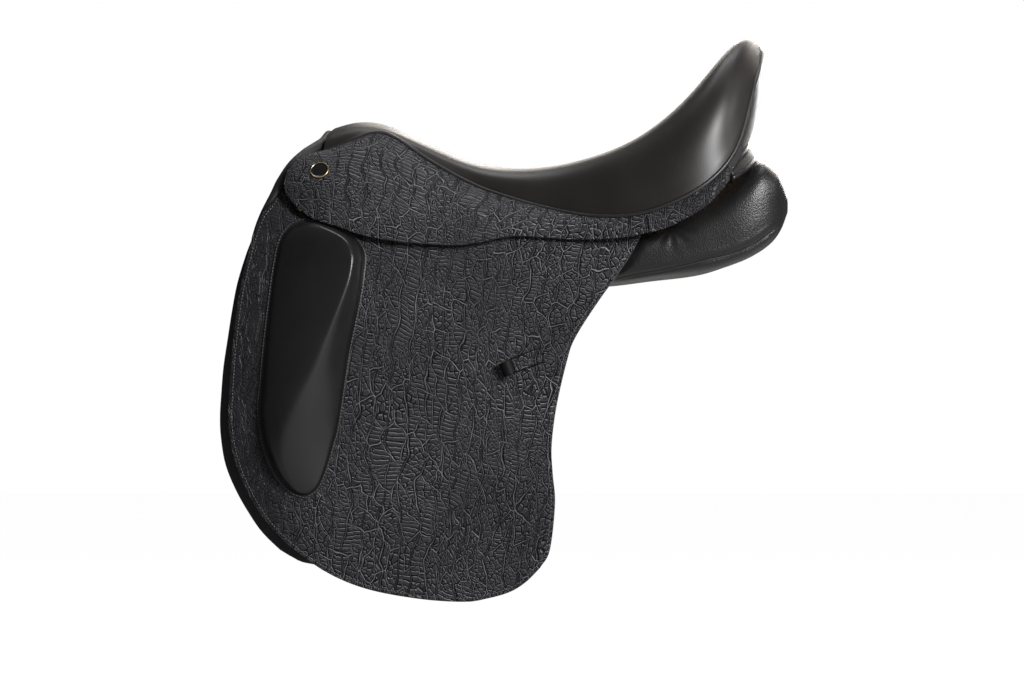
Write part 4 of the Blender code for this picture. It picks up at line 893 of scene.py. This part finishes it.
# a pucker where the seam under the flap's rear corner pulls
away = np.hypot(x - PUCKER_X, z - PUCKER_Z)
spokes = np.cos(9 * np.arctan2(z - PUCKER_Z, x - PUCKER_X) + 1.0) * np.clip(away / 0.008, 0, 1)
pucker = np.exp(-(away / PUCKER_WIDTH) ** 2) * outer * (PUCKER_DEPTH + SPOKE_DEPTH * spokes)
rings[..., 1] += drawn_in + pucker
PANEL_LEATHER = calf("panel_calf", (0.007, 0.0068, 0.0068), (0.012, 0.0117, 0.0117),
                     (0.34, 0.43), pores=760, crease=0.5, bump=0.6, depth=0.00036)
panel = skin("panel_calf_left", rings, PANEL_LEATHER, [rings[0].mean(0), rings[-1].mean(0)])
for piece in pair(panel, "panel"):
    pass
# the welt in the gusset's seam lies on the panel's outer face
surface = BVHTree.FromPolygons([v.co for v in panel.data.vertices],
                               [tuple(f.vertices) for f in panel.data.polygons])
found = [surface.ray_cast(Vector((x, -0.3, z)), Vector((0, 1, 0)))[0]
         for x, z in smooth(seam, 140)]
welt = [(p.x, p.y + WELT_OUT, p.z) for p in found if p is not None]
pair(tube("gusset_welt_left", welt, WELT_RADIUS, PIPING_LEATHER, sides=8))

# Cantle back: calfskin that closes the saddle behind, sewn in under the piping at its top and
# tucked behind the rear band. It bows back a little over the tree.
REAR_SEAM = [(254.5, 0, 227), (252.5, 24, 221), (246.4, 60, 202.7), (239.1, 84, 181.2),
             (223.9, 116, 131.6), (219.5, 122, 121.5)]
CANTLE_LOW = [(236.5, 0, 131), (235.5, 40, 129), (230.5, 78, 123.5), (223.5, 104, 116),
              (216.5, 119, 109)]
CANTLE_THICKNESS, SEAM_GAP, CANTLE_BOW, CANTLE_TUCK = 0.0025, 0.0014, 0.26, 0.001


def both_sides(path, count):
    """A half path from the middle outwards as one path, left end to right end."""
    left = smooth(left_points(path), count)
    return np.vstack([left[::-1], left[1:] * OFF_SIDE])


top, low = both_sides(REAR_SEAM, 41), both_sides(CANTLE_LOW, 41)
length = np.linalg.norm(low - top, axis=1)[:, None]
rows = []
for t in np.linspace(0, 1, 24):
    s = SEAM_GAP / length + (1 - SEAM_GAP / length) * t
    row = top + (low - top) * s
    row[:, :1] += CANTLE_BOW * length * s * (1 - s) - CANTLE_TUCK * (1 - s)
    rows.append(row)
back = sheet("cantle_calf", np.array(rows), CANTLE_THICKNESS, SEAT_LEATHER, edge=0.0007)
single(back, "cantle_back")

# Rear band: a firm strip of lining calf over the panels' rear edge, with a thin roll of smooth
# calf sewn along its top and its bottom.
BAND_TOP = [(239, 0, 135.5), (238, 40, 133), (233.5, 76, 126), (224, 104, 116),
            (216.6, 120, 106.5)]
BAND_BOTTOM = [(246.5, 0, 121.5), (246, 40, 120), (241.5, 76, 114.5), (230.5, 106, 104.6),
               (218.5, 122, 97)]
BAND_THICKNESS, TOP_ROLL, LOW_ROLL = 0.004, 0.0029, 0.0026
top, low = both_sides(BAND_TOP, 33), both_sides(BAND_BOTTOM, 33)
band = sheet("rear_band_calf", np.array([top + (low - top) * t for t in np.linspace(0, 1, 9)]),
             BAND_THICKNESS, SHADED_LINING, edge=0.0014)
single(band, "rear_band")
single(tube("band_top_roll", both_sides(BAND_TOP, 60), TOP_ROLL, BLOCK_LEATHER))
single(tube("band_low_roll", both_sides(BAND_BOTTOM, 60) + (-0.0008, 0, 0.0008), LOW_ROLL,
            BLOCK_LEATHER))

# Pommel facing: lining calf rolled over a core round the head of the tree, thinner towards its
# two ends, with a strip turned in under the pommel on each side.
FACING = [(-165.5, 0, 144.5), (-170, 22, 136.5), (-178, 36, 130), (-187, 48, 122.8),
          (-197.5, 60, 111.5), (-207, 67.5, 96), (-213.5, 70, 84), (-219, 71, 75),
          (-224.5, 71, 65.5), (-230, 70.5, 54), (-234.5, 70, 42)]
ROLL_RADIUS, ROLL_THINNED = 0.0056, 0.0042
TURN_IN_REACH, TURN_IN_START = np.array([0.012, -0.003, -0.010]), (-0.002, -0.0012, 0.0030)
path = both_sides(FACING, 90)
thinned = np.clip((np.abs(np.linspace(-1, 1, len(path))) - 0.62) / 0.38, 0, 1)
rolled = tube("facing_calf", path, ROLL_RADIUS - ROLL_THINNED * thinned, SHADED_LINING, sides=20)
single(rolled, "pommel_facing")
half = smooth(left_points(FACING[1:6]), 40)
fade = np.clip((1.0 - np.linspace(0, 1, 40)) / 0.35, 0.15, 1)[:, None]
strip = np.array([half + TURN_IN_REACH * t * fade + np.array(TURN_IN_START) * (1 - t)
                  for t in np.linspace(0, 1, 7)])
pair(sheet("facing_turn_in_left", strip, 0.0016, SHADED_LINING, flip=True, edge=0.0004))

# Stirrup leather keepers: a short strap of printed leather sewn on each flap, with a plain loop
# of smooth leather at its front end that holds the loose end of the stirrup leather.
KEEPER_REAR, KEEPER_FRONT, KEEPER_TIP = np.array([(39.5, -67), (13, -77), (1.5, -82)]) * MM
KEEPER_WIDTH, KEEPER_THICKNESS, KEEPER_RISE = 0.013, 0.0025, 0.008
KEEPER_OUT, KEEPER_ROLL, ROLL_IN = SEWN_GAP + KEEPER_THICKNESS, 0.0007, (0, 0.0004, 0)
way = unit(KEEPER_FRONT - KEEPER_REAR)
across = np.array([-way[1], way[0]]) * KEEPER_WIDTH / 2


def keeper_row(place, rise):
    """A row of points across the keeper, raised off the flap."""
    return on_flap([(place + across * t) / MM for t in np.linspace(-1, 1, 7)], rise)


strap_grid = np.array([keeper_row(KEEPER_REAR + (KEEPER_FRONT - KEEPER_REAR) * t, KEEPER_OUT)
                       for t in np.linspace(0, 1, 14)])
keeper = sheet("keeper_strap_hide_left", strap_grid, KEEPER_THICKNESS, HIDE, edge=0.0006,
               cut=SHADED_LINING)
pair(keeper, "keeper_strap", "flap")
KEEPER_LEATHER = calf("keeper_calf", (0.003, 0.003, 0.003), (0.006, 0.006, 0.0055),
                      (0.55, 0.66), pores=1500, crease=0.2, bump=0.3, shine=0.15)
# the strap's turned edge: up the lower side, round the rear end and back along the top; its near
# black also stands as painted shadow along the lower side and rear end
turned = np.vstack([strap_grid[::-1, 0], strap_grid[0, 1:-1], strap_grid[:, -1]])
pair(tube("keeper_edge_left", turned + ROLL_IN, KEEPER_ROLL, KEEPER_LEATHER, sides=8),
     body="flap")
start = KEEPER_FRONT + way * SEWN_GAP
loop_grid = [keeper_row(start + (KEEPER_TIP - start) * (1 - math.cos(turn)) / 2,
                        KEEPER_OUT + KEEPER_RISE * math.sin(turn) ** 0.8)
             for turn in np.linspace(0, math.pi, 25)]
loop = sheet("keeper_loop_calf_left", np.array(loop_grid), KEEPER_THICKNESS, KEEPER_LEATHER,
             edge=0.0006)
pair(loop, "keeper_loop", "flap")

# Girth straps and their webs: bridle leather straps, hidden between flap and sweat flap, each
# sewn to a linen web that comes down from the tree.
STRAP_DEPTH, STRAP_THICKNESS = FLAP_THICKNESS + 0.0025, 0.004
STRAP_HALF, STRAP_LENGTH, STRAP_START = 0.0125, 0.255, 0.010


def copied(solid, name, finish):
    """The drawn solid of a hard piece, its seams closed and its corners kept sharp."""
    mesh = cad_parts[solid].data.copy()
    mesh.name = name
    mesh.materials.clear()
    clean = bmesh.new()
    clean.from_mesh(mesh)
    bmesh.ops.remove_doubles(clean, verts=clean.verts, dist=0.00002)
    clean.to_mesh(mesh)
    clean.free()
    item = new_object(name, mesh, finish)
    mesh.set_sharp_from_angle(angle=math.radians(38))
    return item


for end, x in (("front", -0.058), ("rear", 0.020)):
    top = hinge_z(x) - STRAP_START
    grid = np.array([[(e, flap_y(e, z, STRAP_DEPTH), z)
                      for e in np.linspace(x - STRAP_HALF, x + STRAP_HALF, 9)]
                     for z in np.linspace(top, top - STRAP_LENGTH, 70)])
    pair(sheet(end + "_strap_calf_left", grid, STRAP_THICKNESS, SHADED_LINING, edge=0.001),
         end + "_girth_strap", end + "_strap")
    pair(copied(end + "_girth_web_left", end + "_web_linen_left", LINEN),
         end + "_girth_web")

# Tree: laminated beech under varnish, with two long rails and an open middle. Everything else
# is sewn, nailed or riveted to it.
BEECH, tree = new_finish("varnished_beech")
along = node(tree, "ShaderNodeMapping", {"Vector": position(tree), "Scale": (14, 190, 190)})
flecks = noise(tree, along.outputs[0], 1.0, 6, Distortion=0.6)["Fac"]
coat(tree, {"Base Color": blended(tree, flecks, (0.30, 0.16, 0.07, 1), (0.62, 0.42, 0.24, 1)),
            "Roughness": 0.34})
single(copied("tree", "laminated_tree", BEECH), "tree")

# Irons: a pressed steel head plate riveted over the tree's head, and on each side a forged
# stirrup bar with a thumb catch that turns on a pin.
STEEL = metal("forged_steel", (0.42, 0.42, 0.44), 0.38)
single(copied("head_plate", "pressed_head_plate", STEEL), "head_plate")
pair(copied("stirrup_bar_left", "forged_bar_left", STEEL), "stirrup_bar")
pair(copied("bar_catch_left", "thumb_catch_left", STEEL), "bar_catch", "catch")
pair(copied("catch_pin_left", "catch_rivet_left", STEEL), "catch_pin")
